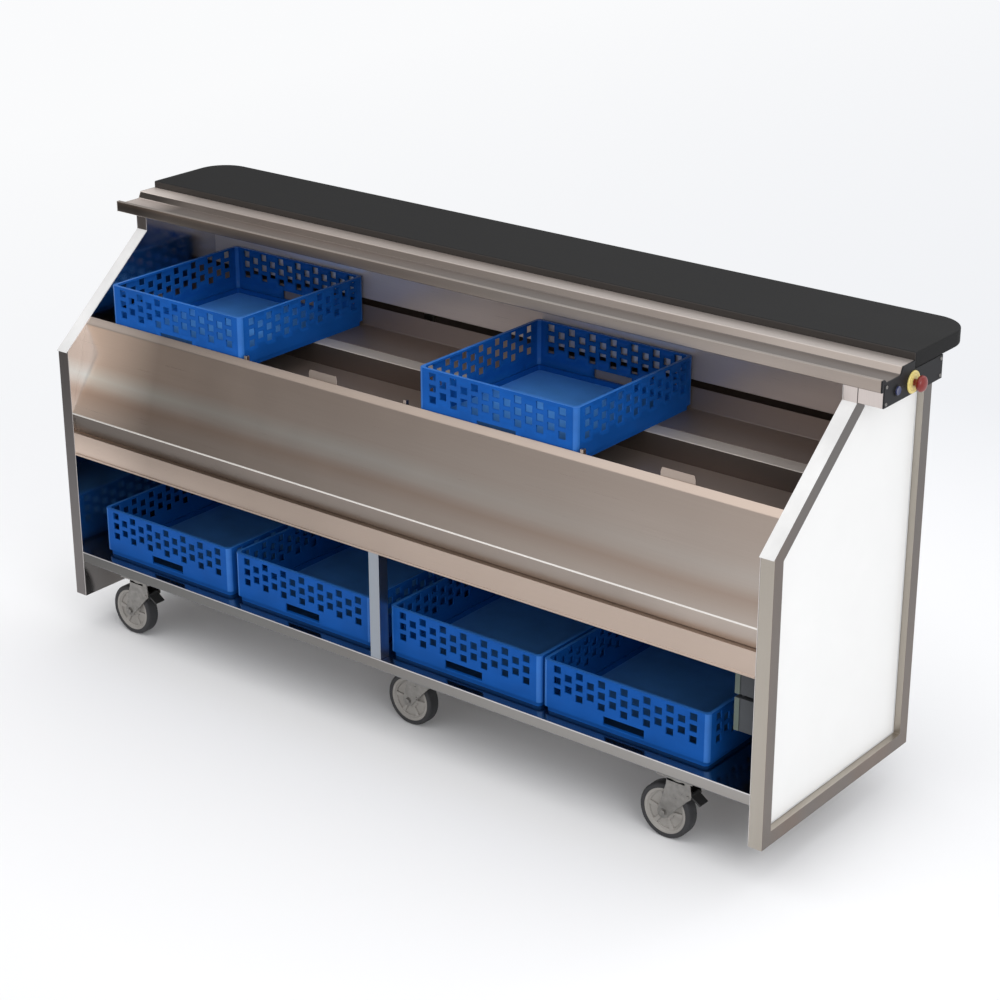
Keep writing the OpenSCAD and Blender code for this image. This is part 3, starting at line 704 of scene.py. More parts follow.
# Slightly lighter, glossier copy for the slab's front faces: painted light.
LAMINATE_EDGE_LIT = Laminate("laminate_edge_lit", "black_laminate", (0.032, 0.027, 0.024), 0.5, gloss=0.35)
BLACK_COAT = Coating("black_coat", "black_coating", (0.009, 0.009, 0.01), 0.5, gloss=0.25)
UNIT_COAT = Coating("unit_coat", "dark_coating", (0.05, 0.054, 0.06), 0.5, gloss=0.3)
TRIM_METAL = Coating("trim_metal", "edge_trim", (0.11, 0.135, 0.115), 0.45, 0.00002, 0.6)
SEALANT = Coating("sealant", "white_panel", (0.6, 0.6, 0.6), 0.6)
BLACK_PLASTIC = MouldedPlastic("black_plastic", "black_plastic", (0.02, 0.02, 0.02), 0.45)
BASKET_BLUE = MouldedPlastic("basket_blue", "basket_blue", (0.006, 0.078, 0.33), 0.42, gloss=0.06)
# Lighter blue for basket floors than for walls: painted light.
BASKET_FLOOR = MouldedPlastic("basket_floor", "basket_blue", (0.06, 0.22, 0.58), 0.5, gloss=0.06)
# Lighter blue for the corner posts and rim: a painted highlight.
BASKET_CORNER_HIGHLIGHT = MouldedPlastic("basket_corner_highlight", "basket_blue", (0.026, 0.14, 0.46), 0.36, gloss=0.2)
SIGNAL_YELLOW = MouldedPlastic("signal_yellow", "yellow_plastic", (0.76, 0.62, 0.2), 0.35, 0.1)
SIGNAL_RED = MouldedPlastic("signal_red", "red_plastic", (0.2, 0.012, 0.008), 0.36, 0.1)
BUTTON_BLUE = MouldedPlastic("button_blue", "dark_blue_plastic", (0.022, 0.03, 0.1), 0.3, 0.3)
# Hub grey, darkened to its look under the shelf: partly its own grey, partly painted shade.
HUB_GREY = MouldedPlastic("hub_grey", "hub_grey", (0.3, 0.283, 0.262), 0.45, gloss=0.3)
TYRE = TyreRubber()


# Places and pieces


def placed(name: str, data: bpy.types.ID) -> bpy.types.Object:
    """Puts a new object into the scene.

    Args:
        name: the object's name.
        data: its mesh, camera or lamp.

    Returns:
        The object.
    """
    made = bpy.data.objects.new(name, data)
    bpy.context.scene.collection.objects.link(made)
    return made


def corners(geom: Iterable[object]) -> list[bmesh.types.BMVert]:
    """Returns the vertices among what an operator made."""
    return [item for item in geom if isinstance(item, bmesh.types.BMVert)]


def ring_edges(bm: bmesh.types.BMesh, points: Iterable[Sequence[float]]) -> list:
    """Returns the edges of a closed ring, which is drawn through the points."""
    verts = [bm.verts.new(p) for p in points]
    return [bm.edges.new(pair) for pair in zip(verts, verts[1:] + verts[:1])]


class Datum:
    """Turns bench places into the frame's own."""

    def __init__(self) -> None:
        """Reads the counter's middle and front plane from its side frames."""
        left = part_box("side_frame_left")
        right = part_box("side_frame_right")
        self.middle = (left[0].x + right[1].x) / 2
        self.front = left[0].y

    def at(self, x: float, y: float, z: float) -> Vector:
        """Returns the frame's point for a bench place."""
        return Vector((x + self.middle, y + self.front, z))


@dataclass(frozen=True)
class Accent:
    """A second finish for some faces of a piece."""

    finish: Finish
    takes: FaceTest


class Workshop:
    """Makes finished objects from bmeshes and carried-over nodes."""

    def __init__(self) -> None:
        """Starts an empty workshop with its datum and paints."""
        self.datum = Datum()
        self.paints = Paintbox()
        self.count = 0

    def piece(
        self,
        name: str,
        bm: bmesh.types.BMesh,
        finish: Finish,
        body: str,
        nodes: Sequence[str] = (),
        edge: float = 0.0,
        segments: int = 2,
        wall: float = 0.0,
        accents: Sequence[Accent] = (),
    ) -> bpy.types.Object:
        """Turns a bmesh into a finished piece that rides on a body.

        Args:
            name: the piece's name.
            bm: its mesh in the frame's own places, which is freed.
            finish: its finish.
            body: the body that it moves with.
            nodes: nodes that it stands for.
            edge: width of its rounded edges, none at 0.
            segments: faces across a rounded edge.
            wall: thickness added on the side that its faces point to, none at 0.
            accents: second finishes, of which a later one wins.

        Returns:
            The finished object.
        """
        mesh = bpy.data.meshes.new(name)
        for f in bm.faces:
            f.smooth = True
            f.material_index = max((i + 1 for i, a in enumerate(accents) if a.takes(f)), default=0)
        bm.to_mesh(mesh)
        bm.free()
        mesh.set_sharp_from_angle(angle=SHARP_ANGLE)
        for paint in (finish, *(a.finish for a in accents)):
            mesh.materials.append(self.paints.material(paint))
        made = placed(name, mesh)
        if wall:
            shell = made.modifiers.new("wall", "SOLIDIFY")
            shell.thickness = wall
            shell.offset = 1.0
            shell.use_even_offset = True
        if edge:
            round_off = made.modifiers.new("edges", "BEVEL")
            round_off.width = edge
            round_off.segments = segments
            round_off.limit_method = "ANGLE"
            round_off.angle_limit = SHARP_ANGLE
            round_off.harden_normals = True
        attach(made, body)
        if nodes:
            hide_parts(*nodes)
        self.count += 1
        log.info("%s rides on %s and has %d faces", name, body, len(mesh.polygons))
        return made

    def softened(
        self,
        node: str,
        finish: Finish,
        edge: float = 0.0008,
        segments: int = 2,
        accents: Sequence[Accent] = (),
    ) -> bpy.types.Object:
        """Stands a copy with rounded edges in for a node whose shape is right.

        Args:
            node: the node's name.
            finish: the copy's finish.
            edge: width of the rounded edges.
            segments: faces across a rounded edge.
            accents: second finishes of some faces.

        Returns:
            The finished copy.
        """
        bm = self.copied(node)
        bmesh.ops.dissolve_limit(bm, angle_limit=FLAT_ANGLE, verts=bm.verts[:], edges=bm.edges[:])
        name, body = f"{node}_finish", frame["nodes"][node]["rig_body"]
        return self.piece(name, bm, finish, body, (node,), edge, segments, accents=accents)

    def copied(self, node: str) -> bmesh.types.BMesh:
        """Copies a node's mesh and joins its loose triangles.

        Args:
            node: the node's name.

        Returns:
            The joined copy.
        """
        bm = bmesh.new()
        bm.from_mesh(frame["nodes"][node].data)
        bmesh.ops.remove_doubles(bm, verts=bm.verts[:], dist=SAME_PLACE)
        return bm

    def turned(
        self,
        profile: Sequence[Point],
        centre: Vector,
        axis: Vector,
        steps: int = 48,
    ) -> bmesh.types.BMesh:
        """Turns a closed or axis-bound profile round an axis.

        Args:
            profile: points as distance from the axis and place along it.
            centre: the point on the axis from which places are counted.
            axis: unit direction of the axis.
            steps: faces round the axis.

        Returns:
            The turned bmesh with its normals outward.
        """
        side = axis.orthogonal().normalized()
        bm = bmesh.new()
        verts = [bm.verts.new(centre + side * r + axis * h) for r, h in profile]
        edges = [bm.edges.new(pair) for pair in zip(verts, verts[1:])]
        bmesh.ops.spin(
            bm, geom=verts + edges, cent=centre, axis=axis, angle=math.tau, steps=steps,
            use_merge=True,
        )
        bmesh.ops.remove_doubles(bm, verts=bm.verts[:], dist=SAME_PLACE / 4)
        bmesh.ops.recalc_face_normals(bm, faces=bm.faces[:])
        return bm

    def slab(self, outline: Sequence[Vector], depth: Vector) -> bmesh.types.BMesh:
        """Extrudes a flat outline.

        Args:
            outline: its corners in order.
            depth: the way and length of the extrusion.

        Returns:
            The closed slab.
        """
        bm = bmesh.new()
        face = bm.faces.new([bm.verts.new(p) for p in outline])
        moved = bmesh.ops.extrude_face_region(bm, geom=[face])["geom"]
        bmesh.ops.translate(bm, verts=corners(moved), vec=depth)
        bmesh.ops.recalc_face_normals(bm, faces=bm.faces[:])
        return bm


def arc(centre: Point, radius: float, start: float, end: float, steps: int) -> list[Point]:
    """Returns points along an arc.

    Args:
        centre: its centre.
        radius: its radius.
        start: its first angle in degrees.
        end: its last angle in degrees.
        steps: the number of stretches.

    Returns:
        The points, both ends included.
    """
    turns = [math.radians(start + (end - start) * i / steps) for i in range(steps + 1)]
    return [(centre[0] + radius * math.cos(t), centre[1] + radius * math.sin(t)) for t in turns]


def near_height(z: float, reach: float) -> FaceTest:
    """Returns a test that takes the faces whose middle is near a height."""
    return lambda f: abs(f.calc_center_median().z - z) < reach


def joined(parts: Iterable[bmesh.types.BMesh]) -> bmesh.types.BMesh:
    """Joins several bmeshes, which are freed.

    Args:
        parts: the bmeshes.

    Returns:
        One bmesh that holds them all.
    """
    whole = bmesh.new()
    for part in parts:
        mesh = bpy.data.meshes.new("part")
        part.to_mesh(mesh)
        part.free()
        whole.from_mesh(mesh)
        bpy.data.meshes.remove(mesh)
    return whole


@dataclass
class FoldedSheet:
    """A sheet of steel folded along x."""

    name: str
    path: Sequence[Point]
    reach: float
    nodes: Sequence[str]
    finish: Finish = STEEL_ALONG
    left_side: bool = True
    thickness: float = 0.002
    bend: float = 0.0025
    bend_faces: int = 4
    accents: Sequence[Accent] = ()

    def build(self, shop: Workshop) -> bpy.types.Object:
        """Folds the sheet with round bends.

        Args:
            shop: makes the piece.

        Returns:
            The finished sheet.
        """
        bm = bmesh.new()
        verts = [bm.verts.new(shop.datum.at(-self.reach, y, z)) for y, z in self.path]
        edges = [bm.edges.new(pair) for pair in zip(verts, verts[1:])]
        moved = bmesh.ops.extrude_edge_only(bm, edges=edges)["geom"]
        bmesh.ops.translate(bm, verts=corners(moved), vec=(2 * self.reach, 0, 0))
        folds = [e for e in bm.edges if len(e.link_faces) == 2]
        bmesh.ops.bevel(
            bm, geom=folds, offset=self.bend, offset_type="OFFSET", segments=self.bend_faces,
            profile=0.5, affect="EDGES", material=-1, clamp_overlap=True,
        )
        bmesh.ops.recalc_face_normals(bm, faces=bm.faces[:])
        self._face_the_wall(bm, shop)
        return shop.piece(
            self.name, bm, self.finish, "counter", self.nodes, edge=0.0004, segments=1,
            wall=self.thickness, accents=self.accents,
        )

    def _face_the_wall(self, bm: bmesh.types.BMesh, shop: Workshop) -> None:
        """Turns the faces to the side that the sheet's thickness is on.

        Args:
            bm: the folded surface.
            shop: gives the datum.
        """
        (y0, z0), (y1, z1) = self.path[0], self.path[1]
        run = Vector((0, y1 - y0, z1 - z0)).normalized()
        left = Vector((0, -run.z, run.y)) * (1 if self.left_side else -1)
        middle = shop.datum.at(0, (y0 + y1) / 2, (z0 + z1) / 2)
        first = min(bm.faces, key=lambda f: (f.calc_center_median() - middle).length)
        if first.normal.dot(left) < 0:
            bmesh.ops.reverse_faces(bm, faces=bm.faces[:])


# The counter's parts


@dataclass
class Assembly:
    """A group of pieces that one workshop makes."""

    shop: Workshop


@dataclass
class Shape:
    """Main sizes of the counter that several parts share."""

    depth: float = 0.695
    half_width: float = 1.195
    tube: float = 0.038
    liner_x: float = 1.155
    corner_z: float = 0.86
    slope_run: float = 0.33
    slope_top_z: float = 1.138
    under_top: float = 1.2
    shelf_z: float = 0.241
    shelf_flange: float = 0.029
    apron_top_z: float = 0.615
    fold_z: float = 0.674
    rim_z: float = 0.941
    rim_length: float = 0.026
    well_z: float = 0.905
    well_depth: float = 0.06
    seat: float = 0.034
    mid_rail_y: float = 0.393
    mid_rail_w: float = 0.053
    wall_y: float = 0.602
    upstand: float = 0.06
    slot: float = 0.018
    back_frame_y: float = 0.665
    ledge_y: float = 0.32
    top_y: float = 0.471
    ledge_flat: float = 0.056
    ledge_rise: float = 0.021
    lip: float = 0.03

    @property
    def slope(self) -> float:
        """Returns the angle of the front slope."""
        return math.atan2(self.slope_top_z - self.corner_z, self.slope_run)

    @property
    def rim_y(self) -> float:
        """Returns the place of the rim's upper edge."""
        return (self.rim_z - self.corner_z) / math.tan(self.slope)


@dataclass
class Sheetwork(Assembly):
    """The folded sheets between the side frames."""

    shape: Shape
    gauge: float = 0.002
    fascia_foot: Point = (0.016, 0.032)
    wall_flange: float = 0.03
    bend_height: float = 0.003
    fold_height: float = 0.0022

    def shelf(self) -> FoldedSheet:
        """Draws the lower shelf.

        Returns:
            The sheet with its two flanges.
        """
        s = self.shape
        foot = s.shelf_z - s.shelf_flange
        path = [(0, foot), (0, s.shelf_z), (s.back_frame_y, s.shelf_z), (s.back_frame_y, foot)]
        # The shelf's front bend gets a painted highlight.
        nose_highlight = Accent(STEEL_NOSE_HIGHLIGHT, near_height(s.shelf_z, self.bend_height))
        deck = Accent(STEEL_POLISHED, lambda f: abs(f.normal.z) > FACING)
        nodes = ("lower_shelf",)
        return FoldedSheet(
            "shelf_sheet", path, s.liner_x, nodes, STEEL_SHELF, False, accents=(nose_highlight, deck)
        )

    def fascia(self) -> FoldedSheet:
        """Draws the sloping front.

        Returns:
            The sheet with its rim, seat and foot.
        """
        s = self.shape
        seat_y = s.rim_y + s.seat
        under_rim = (
            s.rim_y - s.rim_length * math.cos(s.slope),
            s.rim_z - s.rim_length * math.sin(s.slope),
        )
        path = [(seat_y, s.well_z), (s.rim_y, s.well_z), (s.rim_y, s.rim_z), under_rim,
                (0, s.fold_z), *((y, s.apron_top_z) for y in self.fascia_foot)]
        under_fold = s.fold_z - self.bend_height
        # Painted dark reflection on the band under the fold, painted light and shade along x on the
        # rim, and a painted highlight on the fold.
        band = Accent(STEEL_BAND_REFLECTION, lambda f: f.calc_center_median().z < under_fold)
        rim = Accent(STEEL_RIM, lambda f: SLANTED < f.normal.z < FACING)
        fold = Accent(STEEL_FOLD_HIGHLIGHT, near_height(s.fold_z, self.fold_height))
        nodes = ("front_fascia",)
        return FoldedSheet(
            "fascia_sheet", path, s.liner_x, nodes, STEEL_FASCIA, accents=(band, rim, fold)
        )

    def well(self) -> list[FoldedSheet]:
        """Draws the upper well.

        Returns:
            The tray, the middle rail and the back wall.
        """
        s = self.shape
        floor_z = s.well_z - s.well_depth
        seat_y = s.rim_y + s.seat
        deck_y = s.mid_rail_y + s.mid_rail_w
        slot_z = s.well_z + s.upstand + s.slot
        deck_end = s.wall_y - self.gauge
        flange_y = s.wall_y + self.wall_flange
        tray = [(seat_y, s.well_z - self.gauge), (seat_y, floor_z), (deck_y, floor_z),
                (deck_y, s.well_z), (deck_end, s.well_z), (deck_end, s.well_z + s.upstand)]
        rail = [(s.mid_rail_y, floor_z), (s.mid_rail_y, s.well_z), (deck_y, s.well_z),
                (deck_y, floor_z)]
        wall = [(flange_y, slot_z), (s.wall_y, slot_z), (s.wall_y, s.under_top),
                (flange_y, s.under_top)]
        # The rail's upright faces are painted dark: painted shade.
        shaded_faces = Accent(STEEL_DARK, lambda f: abs(f.normal.y) > FACING)
        # The tray is the dark copy, painted shade; the rail and the back wall are pale copies,
        # painted light.
        made = (
            ("tray_sheet", tray, "well_tray", STEEL_SHADED, ()),
            ("rail_sheet", rail, "middle_rail", STEEL_RAIL, (shaded_faces,)),
            ("wall_sheet", wall, "back_wall", STEEL_WALL_LIT, ()),
        )
        return [
            FoldedSheet(name, path, s.liner_x, (node,), finish, False, accents=accents)
            for name, path, node, finish, accents in made
        ]

    def build(self) -> None:
        """Builds every sheet and softens the straight members."""
        for sheet in (self.shelf(), self.fascia(), *self.well()):
            sheet.build(self.shop)
        # The apron carries a painted warm reflection.
        self.shop.softened("front_apron", STEEL_WARM_LIT, 0.0012, 3)
        self.shop.softened("bay_ceiling", STEEL_POLISHED, 0.0005, 1)
        # The centre posts carry a painted bluish reflection of the baskets.
        self.shop.softened("centre_posts", STEEL_BLUE_REFLECTION, 0.0015, 3)
        self.shop.softened("locating_tabs", STEEL_ALONG, 0.0008)
        self.shop.softened("place_dividers", STEEL_ALONG, 0.0012)
        self.shop.softened("chassis_rails", CHASSIS_PAINT, 0.001)


@dataclass
class SideFrames(Assembly):
    """The two side frames with their sunk panels."""

    shape: Shape
    foot_z: float = 0.1
    sink: float = 0.02
    bead_edges: Point = (0.0002, 0.0045)
    bead_proud: float = 0.0015
    recess_depth: float = 0.015
    recess_margin: float = 0.02
    skin: float = 0.001

    def inner_outline(self, inset: float) -> list[Point]:
        """Returns the side's outline drawn in by an inset.

        Args:
            inset: the distance from the frame's outer edge.

        Returns:
            The corners in y and z.
        """
        s = self.shape
        rise = math.tan(s.slope)
        drop = inset / math.cos(s.slope)
        foot = self.foot_z + inset
        return [
            (inset, foot),
            (inset, s.corner_z + inset * rise - drop),
            (s.slope_run + inset, s.corner_z + (s.slope_run + inset) * rise - drop),
            (s.slope_run + inset, s.under_top - inset),
            (s.depth - inset, s.under_top - inset),
            (s.depth - inset, foot),
        ]

    def sealant(self, end: str, side: int) -> None:
        """Lays the pale bead round a sunk panel.

        Args:
            end: left or right.
            side: -1 for the left end and 1 for the right end.
        """
        face = side * (self.shape.half_width - self.sink)
        bm = bmesh.new()
        loops = []
        for edge in self.bead_edges:
            ring = self.inner_outline(self.shape.tube + edge)
            loops += ring_edges(bm, (self.shop.datum.at(face, y, z) for y, z in ring))
        bmesh.ops.bridge_loops(bm, edges=loops)
        moved = bmesh.ops.extrude_face_region(bm, geom=bm.faces[:])["geom"]
        bmesh.ops.translate(bm, verts=corners(moved), vec=(side * self.bead_proud, 0, 0))
        bmesh.ops.recalc_face_normals(bm, faces=bm.faces[:])
        self.shop.piece(f"panel_seal_{end}", bm, SEALANT, "counter", edge=0.0006)

    def outward(self, face: bmesh.types.BMFace, side: int) -> float:
        """Returns how far a face's middle lies from the counter's, toward one end."""
        return (face.calc_center_median().x - self.shop.datum.middle) * side

    def on_flank(self, face: bmesh.types.BMFace, side: int) -> bool:
        """Tells whether a face lies on the outer side of an end frame."""
        return self.outward(face, side) > self.shape.half_width - self.skin

    def in_recess(self, face: bmesh.types.BMFace, side: int) -> bool:
        """Tells whether a face is a wall round a sunk panel.

        Args:
            face: the face.
            side: -1 for the left end and 1 for the right end.

        Returns:
            True for the frame's inner edges, which look at the panel.
        """
        s, margin = self.shape, self.recess_margin
        middle = face.calc_center_median()
        y = middle.y - self.shop.datum.front
        in_y = margin < y < s.depth - margin
        in_z = self.foot_z + margin < middle.z < s.under_top - margin
        outside = self.outward(face, side) > s.half_width - self.recess_depth
        return abs(face.normal.x) < 1 - FACING and outside and in_y and in_z

    def on_stub(self, face: bmesh.types.BMFace) -> bool:
        """Tells whether a face is the front of the upright over the slope."""
        return face.normal.y < -FACING and face.calc_center_median().z > self.shape.slope_top_z

    def build(self) -> None:
        """Dresses both sides."""
        for end, side in (("left", -1), ("right", 1)):
            # The right frame's upright over the slope is a pale copy (painted light); the whole
            # left frame is a dark copy (painted shade).
            steel, stub = (STEEL_UPRIGHT, STEEL_STEP_LIT) if side > 0 else (STEEL_DIM, STEEL_DIM)
            # Outer flanks take a dark copy (painted shade), and the walls round the sunk panel a
            # pale one (painted light).
            accents = (
                Accent(STEEL_FLANK_SHADE, lambda f, side=side: self.on_flank(f, side)),
                Accent(STEEL_RECESS_LIT, lambda f, side=side: self.in_recess(f, side)),
                Accent(stub, self.on_stub),
            )
            self.shop.softened(f"side_frame_{end}", steel, 0.002, 3, accents)
            self.shop.softened(f"side_panel_{end}", WHITE_BOARD, 0.001)
            self.sealant(end, side)
        self.shop.softened("slope_covers", WHITE_COVER, 0.0007)
        self.shop.softened("side_liners", STEEL_MIRROR, 0.0005, 1)


@dataclass
class BarTop(Assembly):
    """The black slab and the steel ledge in front of it."""

    shape: Shape
    half_length: float = 1.264
    back_y: float = 0.757
    corner: float = 0.09
    corner_faces: int = 14
    top_z: float = 1.24
    edge: float = 0.004
    gauge: float = 0.002
    ledge_bend: float = 0.0022
    crown_rise: float = 0.011
    groove_rise: float = 0.002
    crown_width: float = 0.012
    ramp: float = 0.009
    return_width: float = 0.008
    crown_below: float = 0.014
    groove_below: float = 0.006
    upper_share: float = 0.5

    def slab(self) -> None:
        """Builds the slab with its two round corners."""
        s = self.shape
        x, y, r = self.half_length, self.back_y, self.corner
        ring = [(-x, s.top_y), (x, s.top_y)]
        ring += arc((x - r, y - r), r, 0, 90, self.corner_faces)
        ring += arc((-x + r, y - r), r, 90, 180, self.corner_faces)
        outline = [self.shop.datum.at(px, py, s.under_top) for px, py in ring]
        bm = self.shop.slab(outline, Vector((0, 0, self.top_z - s.under_top)))
        # The slab's front faces are painted lighter: painted light.
        front = Accent(LAMINATE_EDGE_LIT, lambda f: f.normal.y < -FACING)
        self.shop.piece(
            "bar_top_slab", bm, BLACK_LAMINATE, "counter", ("bar_top",), self.edge, 4,
            accents=(front,),
        )

    def ledge_path(self) -> list[Point]:
        """Draws the ledge's upper surface.

        Returns:
            Its profile in y and z, from the lip to the bar top.
        """
        s = self.shape
        crown_z = s.under_top + self.crown_rise
        groove_z = s.under_top + self.groove_rise
        crown_y = s.ledge_y + self.crown_width
        flat_y = s.top_y - s.ledge_flat
        flat_z = s.under_top + s.ledge_rise
        return [
            (s.ledge_y + self.return_width, crown_z - s.lip),
            (s.ledge_y, crown_z - s.lip),
            (s.ledge_y, crown_z),
            (crown_y, crown_z),
            (crown_y + self.ramp, groove_z),
            (flat_y - self.ramp, groove_z),
            (flat_y, flat_z),
            (s.top_y, flat_z),
            (s.top_y, s.under_top),
        ]

    def upper_faces(self, below: float = math.inf) -> FaceTest:
        """Returns a test for the ledge's upper faces, up to a rise over the tube."""
        limit, share = self.shape.under_top + below, self.upper_share
        return lambda f: abs(f.normal.z) > share and f.calc_center_median().z < limit

    def ledge(self) -> None:
        """Builds the ledge's folded sheet."""
        low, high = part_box("service_ledge")
        left = low.x - self.shop.datum.middle + self.gauge
        right = high.x - self.shop.datum.middle
        # The ledge's upper faces: painted light on the flat, painted shade on the crown band and on
        # the groove band.
        accents = (
            Accent(STEEL_LEDGE, self.upper_faces()),
            Accent(STEEL_CROWN, self.upper_faces(self.crown_below)),
            Accent(STEEL_GROOVE, self.upper_faces(self.groove_below)),
        )
        sheet = FoldedSheet(
            "ledge_sheet", self.ledge_path(), (right - left) / 2, (), STEEL_LIP, False,
            bend=self.ledge_bend, accents=accents,
        )
        made = sheet.build(self.shop)
        made.data.transform(Matrix.Translation(((right + left) / 2, 0, 0)))

    def end_cap(self) -> None:
        """Closes the ledge's left end."""
        s = self.shape
        low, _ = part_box("service_ledge")
        path = self.ledge_path()
        ring = path + [(s.slope_run, s.under_top), (s.slope_run, path[0][1])]
        outline = [Vector((low.x, *self.shop.datum.at(0, y, z).yz)) for y, z in ring]
        bm = self.shop.slab(outline, Vector((self.gauge, 0, 0)))
        nodes = ("service_ledge",)
        self.shop.piece("ledge_end_cap", bm, STEEL_ALONG, "counter", nodes, edge=0.0004, segments=1)

    def build(self) -> None:
        """Builds the slab and the ledge."""
        self.slab()
        self.ledge()
        self.end_cap()


@dataclass
class Basket(Assembly):
    """A square glass basket with staggered windows and two hand holes."""

    width: float = 0.5
    height: float = 0.145
    wall: float = 0.004
    corner: float = 0.012
    foot: float = 0.014
    foot_inset: float = 0.006
    hand: Point = (0.124, 0.025)
    columns: int = 13
    margin: float = 0.045
    window: Point = (0.022, 0.02)
    rows: int = 5
    row_pitch: float = 0.0155
    window_drop: float = 0.008
    rim: float = 0.0055
    rim_width: float = 0.009
    corner_post: float = 0.018
    corner_faces: int = 5
    slack: float = 0.001
    # How much lighter the upper baskets' floors are: painted light.
    upper_light: float = 1.3

    def centres(self) -> list[float]:
        """Returns the windows' middles along one wall."""
        pitch = (self.width - 2 * self.margin) / (self.columns - 1)
        return [self.margin + pitch * i for i in range(self.columns)]

    def window_top(self, row: int) -> float:
        """Returns the height of a row's upper edge, counted from the top."""
        return self.height - self.window_drop - row * self.row_pitch

    @property
    def hand_z(self) -> Point:
        """Returns the lower and the upper edge of the hand hole."""
        step = self.foot + self.wall
        return step, step + self.hand[1]

    def levels(self) -> list[float]:
        """Divides the walls by height.

        Returns:
            The heights of all openings' edges, and the top.
        """
        tops = [self.window_top(row) for row in range(self.rows)]
        feet = [top - self.window[1] for top in tops]
        return sorted([*self.hand_z, *tops, *feet]) + [self.height]

    def side_marks(self) -> list[float]:
        """Divides a wall along its length.

        Returns:
            The places of all openings' edges, between the two corners.
        """
        middle, half = self.width / 2, self.window[0] / 2
        marks = [c + side * half for c in self.centres() for side in (-1, 1)]
        marks += [middle - self.hand[0] / 2, middle + self.hand[0] / 2]
        return [self.corner, *sorted(marks), self.width - self.corner]

    def outline(self) -> list[Point]:
        """Draws the divided outline.

        Returns:
            The points, counter-clockwise from the front left corner.
        """
        w, r, faces = self.width, self.corner, self.corner_faces
        marks = self.side_marks()
        walls = [
            ([(m, 0.0) for m in marks], arc((w - r, r), r, -90, 0, faces)),
            ([(w, m) for m in marks], arc((w - r, w - r), r, 0, 90, faces)),
            ([(w - m, w) for m in marks], arc((r, w - r), r, 90, 180, faces)),
            ([(0.0, w - m) for m in marks], arc((r, r), r, 180, 270, faces)),
        ]
        points: list[Point] = []
        for straight, turn in walls:
            points += straight + turn[1:-1]
        return points

    def is_open(self, place: Vector) -> bool:
        """Tells whether a wall's face at that place is cut away.

        Args:
            place: the face's middle, from the basket's front left corner at its foot.

        Returns:
            True in a window or a hand hole.
        """
        near_x = min(place.y, self.width - place.y) < self.slack
        near_y = min(place.x, self.width - place.x) < self.slack
        if not (near_x or near_y):
            return False
        along = place.x if near_x else place.y
        low, high = self.hand_z
        if near_x and low < place.z < high and abs(along - self.width / 2) < self.hand[0] / 2:
            return True
        column = min(range(self.columns), key=lambda i: abs(along - self.centres()[i]))
        if abs(along - self.centres()[column]) >= self.window[0] / 2:
            return False
        tops = [self.window_top(row) for row in range(column % 2, self.rows, 2)]
        return any(top - self.window[1] < place.z < top for top in tops)

    def shell(self) -> bmesh.types.BMesh:
        """Grows the outer skin from the foot to the turned-down lip.

        Returns:
            The skin with its openings, whose faces point to where the wall's thickness goes.
        """
        bm = bmesh.new()
        middle = Vector((self.width / 2, self.width / 2, 0))
        loop = ring_edges(bm, ((x, y, 0) for x, y in self.outline()))
        verts = bm.verts[:]
        foot_scale = 1 - 2 * self.foot_inset / self.width
        rim_scale = 1 - 2 * self.rim_width / self.width

        def scale_round(moved: list, scale: float) -> None:
            """Scales vertices in x and y round the basket's middle."""
            matrix = Matrix.Diagonal((scale, scale, 1, 1))
            bmesh.ops.transform(bm, matrix=matrix, verts=moved, space=Matrix.Translation(-middle))

        def grow(edges: list, rise: float, scale: float = 1.0) -> list:
            """Extrudes the loop upward.

            Args:
                edges: the loop.
                rise: how far it goes up.
                scale: its new size as a share of the old one.

            Returns:
                The new loop.
            """
            geom = bmesh.ops.extrude_edge_only(bm, edges=edges)["geom"]
            bmesh.ops.translate(bm, verts=corners(geom), vec=(0, 0, rise))
            scale_round(corners(geom), scale)
            return [item for item in geom if isinstance(item, bmesh.types.BMEdge)]

        scale_round(verts, foot_scale)
        bm.faces.new(verts)

        loop = grow(loop, self.foot)
        loop = grow(loop, 0.0, 1 / foot_scale)
        z = self.foot
        for level in self.levels():
            loop = grow(loop, level - z)
            z = level
        loop = grow(loop, 0.0, rim_scale)
        grow(loop, -self.rim)
        doomed = [f for f in bm.faces if self.is_open(f.calc_center_median())]
        bmesh.ops.delete(bm, geom=doomed, context="FACES")
        bmesh.ops.recalc_face_normals(bm, faces=bm.faces[:])
        # The thickness lies inside the skin, so all faces have to look into the basket.
        floor = min(bm.faces, key=lambda f: f.calc_center_median().z)
        if floor.normal.z <= 0:
            bmesh.ops.reverse_faces(bm, faces=bm.faces[:])
        return bm

    def accents(self, node: str, low: Vector) -> tuple[Accent, Accent]:
        """Returns the floor's lighter blue, which is painted light with painted shade near its
        front and right walls, and the painted highlight of the rim and corner posts.

        Args:
            node: the basket's node.
            low: the basket's lowest corner.

        Returns:
            The two accents.
        """

        def on_floor(face: bmesh.types.BMFace) -> bool:
            """Tells whether a face is the floor."""
            height = face.calc_center_median().z - low.z
            return height < self.slack and abs(face.normal.z) > FACING

        def on_corner(face: bmesh.types.BMFace) -> bool:
            """Tells whether a face belongs to a corner post or the rim.

            Args:
                face: the face.

            Returns:
                True on a post and on the rim.
            """
            place = face.calc_center_median() - low
            away = max(min(v, self.width - v) for v in (place.x, place.y))
            on_post = away < self.corner_post and place.z > self.foot + self.slack
            return on_post or place.z > self.height - self.slack / 5

        # Floor: painted light, darkened near the front and right walls by painted shade; the upper
        # baskets' floors are painted lighter still.
        floor = replace(BASKET_FLOOR, name=f"{node}_floor", dark_corner=(low.x + self.width, low.y))
        if node.startswith("upper"):
            floor = replace(floor, colour=scaled(floor.colour, self.upper_light))
